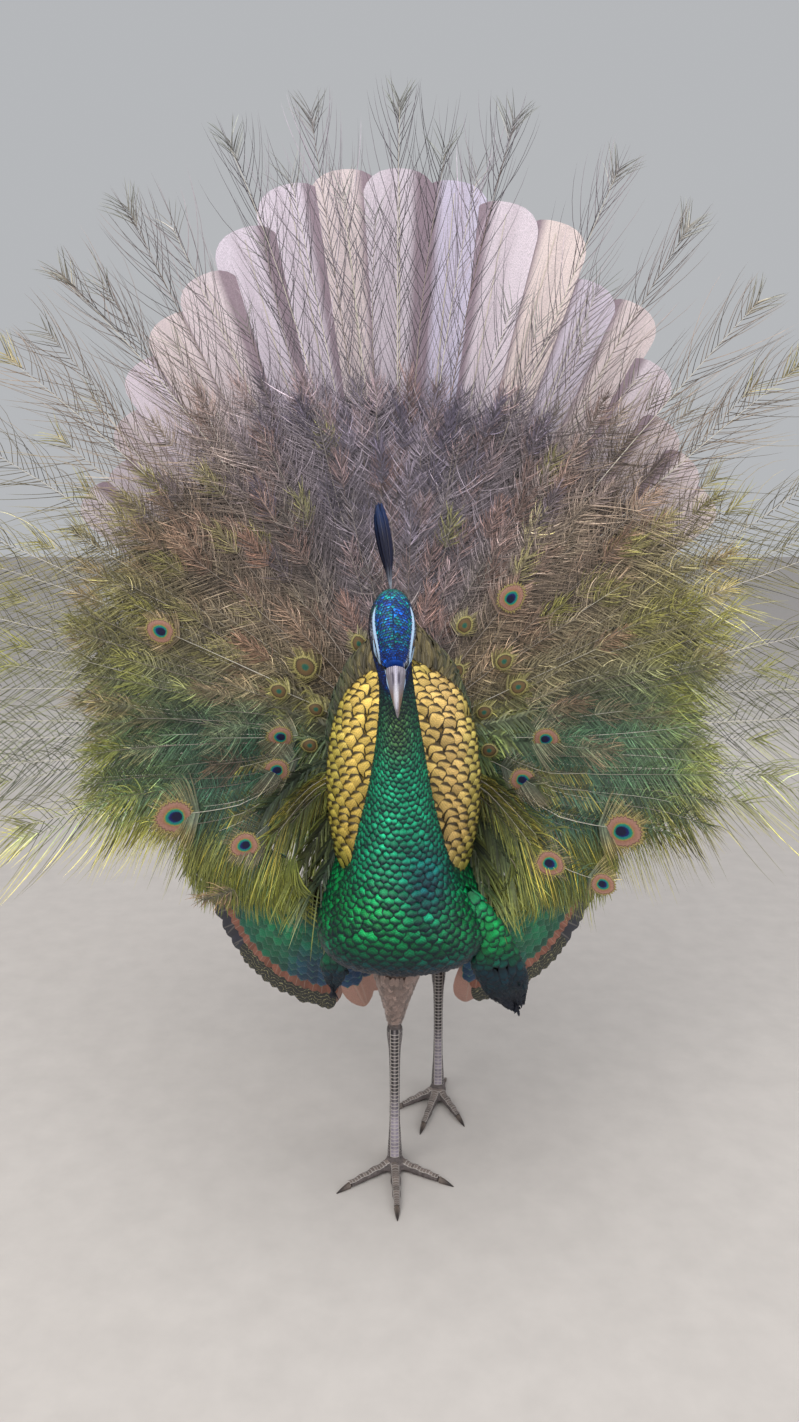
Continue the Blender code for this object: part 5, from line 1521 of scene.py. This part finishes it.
# the rear layer, its barbs painted near-black as shade behind the front layers
reach, count, widest, barb, spacing = BACKING
for number in range(count):
    turn = -widest + 2 * widest * (number + 0.5) / count
    quill = Quill(turn, min(reach, dense_reach(turn) - 0.035), -0.012, rng)
    base, side = even_barbs(0.070, quill.reach - 0.010, spacing)
    add_barbs(quill, base, side, rng.uniform(0.7, 1.1, len(base)) * barb,
              rng.normal(BARB_TURN, 8, len(base)), 0.0030, tip=SHADED_EYE_TIP * 0.3, tinge=0.8,
              dark=0.2, droop=0.2)
for reach, count, widest, barb, spacing in LAYERS:
    for number in range(count):
        turn = -widest + 2 * widest * (number + 0.5 + rng.normal(0, 0.24)) / count
        length = min(reach * (1 + rng.normal(0, 0.045)), dense_reach(turn) - rng.uniform(0, 0.03))
        length *= 1 - 0.14 * ease((abs(turn) - 98) / 24)
        quill = Quill(turn, length, layer_front(reach) + rng.normal(0, 0.002), rng)
        low = ease((abs(turn) - 84) / 26)
        base, side = even_barbs(0.070, length - BRUSH * 0.8, spacing)
        span = np.clip((base - 0.02) * 0.55, 0.012, barb) * rng.uniform(0.7, 1.2, len(base))
        add_barbs(quill, base, side, span, rng.normal(BARB_TURN, 8, len(base)),
                  rng.uniform(0.0008, 0.0012, len(base)),
                  droop=0.12 + 0.25 * ease((abs(turn) - 25) / 30) + 0.25 * low)
        kind, side_on = rng.random(), ease((abs(turn) - 30) / 30)
        if kind < 0.08 + 0.20 * side_on and reach > 0.28:
            brush_end(quill, BRUSH, LIME, 0.8, droop=0.1 + 0.3 * low)
        elif kind < 0.54 and low < 0.5:
            brush_end(quill, BRUSH, COPPER_TIP, 0.55, droop=0.1)
        # dark mauve brushes: painted shade, for eyes that lie in shade
        elif kind < 0.76 and side_on < 0.5 and reach > 0.3:
            brush_end(quill, BRUSH, SHADED_EYE_TIP, 0.7)
        else:
            brush_end(quill, BRUSH, OLIVE, 0.3, spacing=0.0019, droop=0.1 + 0.35 * low)
        stalk(quill, 0.0008 + 0.0006 * reach, abs(turn) > 56 and rng.random() < 0.30)
# coppery brushes, and dark mauve ones that are painted shade for eyes lying in shade
for rows, tip in ((COPPERY, COPPER_TIP), (SHADED_EYE_BRUSHES, SHADED_EYE_TIP)):
    for reach, turns in rows:
        for turn in turns:
            quill = Quill(turn, reach, layer_front(reach) + 0.004, rng)
            brush_end(quill, LONG_BRUSH, tip, 0.92, spacing=0.0011, length=0.031)
for middle, wide, ringed_turns, pale_turns in EYED:
    for turn in ringed_turns + pale_turns:
        vivid, low = turn in ringed_turns, ease((abs(turn) - 84) / 26)
        reach = middle + wide * 0.52
        quill = Quill(turn, reach, layer_front(reach) + 0.007, rng)
        quill.curve, quill.tone = 0.0, 1.0
        base, side = even_barbs(0.055, reach - wide * 0.95, 0.0034)
        span = np.clip((base - 0.02) * 0.42, 0.012, 0.050) * rng.uniform(0.8, 1.15, len(base))
        add_barbs(quill, base, side, span, rng.normal(BARB_TURN, 6, len(base)), 0.0010,
                  droop=0.15 + 0.55 * low, behind=0.002)
        base, side = even_barbs(reach - wide * 1.15, reach - wide * 0.16, 0.0009)
        part = (reach - base) / wide
        span = wide * (0.50 + 0.30 * part) * rng.uniform(0.80, 1.16, len(base)) + 0.004
        add_barbs(quill, base, side, span, 22 + 42 * part, 0.0012, bend=0.35, dark=0.8,
                  tip=ROSE if vivid else LIME, tinge=0.45)
        disc_parts.append(eye_disc(quill, wide, vivid, len(disc_parts)))
        stalk(quill, 0.0011, abs(turn) > 60)
for side_sign in (-1.0, 1.0):
    for number in range(FRINGE_FEATHERS):
        share = (number + rng.random()) / FRINGE_FEATHERS
        turn = side_sign * (FRINGE_TURNS[0] + (FRINGE_TURNS[1] - FRINGE_TURNS[0]) * share)
        reach = FRINGE_REACH[0] + (FRINGE_REACH[1] - FRINGE_REACH[0]) * rng.random() * (
            1 - 0.72 * ease(share / 0.9))
        front = 0.008 + 0.012 * rng.random() + 0.045 * ease((share - 0.4) / 0.6)
        quill = Quill(turn, reach, front, rng)
        quill.tone = rng.uniform(0.8, 1.25)
        base, side = even_barbs(0.090, reach - 0.004, 0.0021)
        span = (0.026 + 0.024 * ease((base - 0.10) / 0.12)) * rng.uniform(0.55, 1.2, len(base))
        add_barbs(quill, base, side, span, rng.normal(46, 8, len(base)),
                  rng.uniform(0.0009, 0.0014, len(base)), droop=0.80, bend=0.4,
                  tip=LIME if number % 3 else STRAW, tinge=0.85)
        stalk(quill, 0.0010, number % 3 == 0)
    for number in range(NEAR_FEATHERS):
        turn = side_sign * rng.uniform(*NEAR_TURNS)
        quill = Quill(turn, rng.uniform(*NEAR_REACH), 0.010 + 0.028 * rng.random(), rng)
        base, side = even_barbs(0.035, quill.reach, 0.0019)
        add_barbs(quill, base, side, rng.uniform(0.024, 0.050, len(base)),
                  rng.normal(44, 10, len(base)), 0.0024, droop=0.75, bend=0.4,
                  tip=LIME if number % 2 else OLIVE, tinge=0.6)
for number in range(LONG_FEATHERS):
    turn = -LONG_TURN + 2 * LONG_TURN * (number + 0.5 + rng.normal(0, 0.25)) / LONG_FEATHERS
    reach = train_reach(turn) * (1.0 if number % 3 == 0 else rng.uniform(0.74, 0.97))
    quill = Quill(turn, reach, -0.004 + rng.normal(0, 0.003), rng)
    side_on = ease((abs(turn) - 32) / 24)
    quill.tone *= 0.85
    fork = reach - (0.038 + 0.016 * side_on)
    base, side = even_barbs(0.30, fork, 0.0118 - 0.0034 * side_on)
    room = train_reach(turn) + 0.024
    span = (0.085 + 0.045 * ease((base - 0.35) / 0.25)) * rng.uniform(0.6, 1.25, len(base))
    span = np.minimum(span, (room - base) * rng.uniform(0.9, 1.05, len(base)))
    add_barbs(quill, base, side, span, rng.normal(25 + 20 * side_on, 9, len(base)), 0.0010,
              bend=0.80, dark=0.5, droop=0.05 + 0.22 * side_on)
    close = 0.0056 - 0.0030 * side_on if number % 3 else 0.0026
    base, side = even_barbs(fork, fork + FORK, close)
    part = (base - fork) / FORK
    span = np.minimum((0.052 - 0.008 * part) * rng.uniform(0.6, 1.15, len(base)), room - base)
    add_barbs(quill, base, side, span, rng.normal(31 - 6 * part, 5), 0.0011, bend=-0.15,
              droop=0.10, dark=0.95, tip=LIME if side_on > 0.4 else TIP_GREY, tinge=0.65)
    quill.reach = fork + 0.020
    stalk(quill, 0.0015, side_on > 0.5 or number % 2)

PIECE_TRIANGLES = 150000
groups, current, size = [], [], 0
for part in barb_parts:
    if size + len(part[1]) > PIECE_TRIANGLES:
        groups.append(current)
        current, size = [], 0
    current.append(part)
    size += len(part[1])
groups.append(current)
labels = ["train_barbs_%d" % number for number in range(len(groups))] + ["train_shafts"]
for label, group in zip(labels, groups + [shaft_parts]):
    points, faces, colour, patch = stacked(group)
    make_piece(label, points, faces, quill_finish if group is shaft_parts else
                            barb_finish, "train_feathers", patch, plumage=colour)
points, faces, marks, patch = stacked(disc_parts)
make_piece("train_eyes", points, faces, eye_finish, "train_feathers", patch,
                        vane=marks)
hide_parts(*[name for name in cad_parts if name.startswith("train_") and
                        name != "train_root"])

# ---- True tail ----------
# Behind the train stand the broad stiff tail feathers that prop it up. They are pale, and lighter
# still for painted light shining through them, with painted mauve-grey shade down the vane that the
# next feather inwards overlaps. They are rounded at the tip, and each overlaps its outer neighbour.

TAIL_HUB = np.array((0.0, 0.150, 0.440))
TAIL_FEATHERS, TAIL_SPREAD, TAIL_HALF = 19, 50.0, 3.6
TAIL_STATIONS = np.array((0.0, 0.2, 0.4, 0.55, 0.7, 0.8, 0.87, 0.92, 0.955, 0.98, 1.0))
TAIL_ACROSS = np.sin(np.linspace(-np.pi / 2, np.pi / 2, 13))
# the pale colours are partly painted light shining through the vanes; the mauve-grey one is painted
# shade where a neighbour overlaps
TAIL_PALE, TAIL_LILAC, TAIL_OVERLAP_SHADE = dye(238, 220, 216), dye(220, 212, 236), dye(150, 130, 142)


def tail_patch(points):
    return np.stack([0.5 + points[:, 0] / 1.4, (points[:, 2] - 0.4) / 1.0], -1)


def tail_reach(turn):
    return 0.848 - 0.10 * ease((abs(turn) - 9) / 18) - 0.12 * ease((abs(turn) - 27) / 14)


def tail_place(turn, reach, front):
    swing = np.radians(turn)
    return np.stack([TAIL_HUB[0] + reach * np.sin(swing),
                     TAIL_HUB[1] + 0.085 * np.sin(np.pi / 2 * np.minimum(reach / 0.5, 1)) - front,
                     TAIL_HUB[2] + reach * np.cos(swing)], -1)


tail_finish = plumage_finish("tail vanes", rough=0.6, metal=0.0, barbs=90.0, contrast=0.06,
                             shaft=0.0, chance=0.08, gleam=0.2)
rng = np.random.default_rng(71)
along, across = np.meshgrid(TAIL_STATIONS, TAIL_ACROSS, indexing="ij")
vanes, marks, colours, shafts = [], [], [], []
for number in range(TAIL_FEATHERS):
    turn = -TAIL_SPREAD + 2 * TAIL_SPREAD * (number + 0.5) / TAIL_FEATHERS
    reach = tail_reach(turn) * rng.uniform(0.962, 1.0)
    rounded = 1 - 0.046 * (1 - np.sqrt(np.clip(1 - np.abs(across) ** 2.6, 0, 1)))
    radius = 0.05 + (reach * rounded - 0.05) * along
    angle = turn + across * TAIL_HALF
    front = 0.006 - 0.0011 * abs(number - TAIL_FEATHERS // 2) - 0.0022 * across ** 2
    front = front + 0.0014 * np.sin(across * 2.2 + number) * along
    vanes.append(tail_place(angle, radius, front))
    side = -1.0 if turn > 0 else 1.0
    # painted shade down the vane that the next feather inwards overlaps, and a fainter darker stripe
    # on the outer vane beside the shaft
    band = ease((side * across - 0.30) / 0.16)
    pale = blend(TAIL_PALE, TAIL_LILAC, np.full(across.shape, rng.random()))
    stripe = np.exp(-((across + side * 0.18) / 0.10) ** 2) * 0.35
    colours.append(blend(pale, TAIL_OVERLAP_SHADE, np.clip(band * 0.95 + stripe, 0, 1)))
    marks.append(np.stack([across, along, np.full(across.shape, rng.random())], -1))
    quill = Quill(turn, reach * 0.98, 0.0, rng)
    line = tail_place(np.full(12, quill.turn), np.linspace(0.05, quill.reach, 12),
                      front[0, 6] + 0.0012)
    half = np.linspace(0.0021, 0.0005, 12)[:, None]
    shafts.append((np.stack([line + half * (1, 0, 0), line - half * (0, 1, 0) * 0.8,
                             line - half * (1, 0, 0), line + half * (0, 1, 0) * 0.5], 1),
                   net(12, 4)))
points = np.array(vanes).reshape(-1, 3)
faces = net(*along.shape, False)
faces = (faces[None] + np.arange(TAIL_FEATHERS)[:, None, None] * along.size).reshape(-1, 4)
tail = make_piece("tail_feathers", points, faces, tail_finish, "tail_feathers",
                  tail_patch(points), plumage=np.array(colours), vane=np.array(marks))
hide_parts("tail_left", "tail_middle", "tail_right")
points, faces = stacked(shafts)
make_piece("tail_shafts", points, faces, quill_finish, "tail_feathers", tail_patch(points),
           plumage=QUILL)

# ---- The studio ----------
# A plain pale floor that runs out of sight, and soft lamps: a broad one high in front, a fainter
# one at one side, one overhead, and one behind that lights the train's thin upper feathers.

EYE_LEVEL, STAND_BACK, LOOK_DOWN = 0.80, 1.274, 10.0
FLOOR_HALF = 30.0
LAMPS = (("front lamp", (-1.2, -2.2, 2.6), (50, 0, -28), 2.6, 52.0, (1.0, 0.98, 0.95)),
         ("side lamp", (2.2, -1.6, 1.6), (66, 0, 54), 2.2, 20.0, (0.95, 0.97, 1.0)),
         ("top lamp", (0.0, 0.2, 3.0), (0, 0, 0), 3.0, 34.0, (1.0, 1.0, 1.0)),
         ("back lamp", (0.3, 2.6, 1.8), (-62, 0, 175), 2.6, 14.0, (0.95, 0.97, 1.0)))

floor_mesh = bpy.data.meshes.new("floor")
floor_mesh.from_pydata([(x * FLOOR_HALF, y * FLOOR_HALF, 0.0)
                        for x, y in ((-1, -1), (1, -1), (1, 1), (-1, 1))], [], [(0, 1, 2, 3)])
floor = bpy.data.objects.new("floor", floor_mesh)
bpy.context.scene.collection.objects.link(floor)
floor_mesh.materials.append(mottled_finish("pale floor", 0.05, 0.96, 1.04,
                                           (0.62, 0.575, 0.54), roughness=0.9)[0])

for name, place, angles, size, power, tone in LAMPS:
    light = bpy.data.lights.new(name, "AREA")
    light.size, light.energy, light.color = size, power, tone
    lamp = bpy.data.objects.new(name, light)
    lamp.location = place
    lamp.rotation_euler = [math.radians(angle) for angle in angles]
    bpy.context.scene.collection.objects.link(lamp)
world = bpy.data.worlds.new("studio")
world.use_nodes = True
world.node_tree.nodes["Background"].inputs[0].default_value = (0.80, 0.82, 0.85, 1.0)
world.node_tree.nodes["Background"].inputs[1].default_value = 0.58
bpy.context.scene.world = world
bpy.context.scene.view_settings.view_transform = "Standard"

lens = bpy.data.cameras.new("camera")
lens.lens, lens.sensor_width, lens.sensor_fit = 26.0, 36.0, "AUTO"
camera = bpy.data.objects.new("camera", lens)
camera.location = (0.0, -STAND_BACK, EYE_LEVEL)
camera.rotation_euler = (math.radians(90.0 - LOOK_DOWN), 0.0, 0.0)
bpy.context.scene.collection.objects.link(camera)
bpy.context.scene.camera = camera
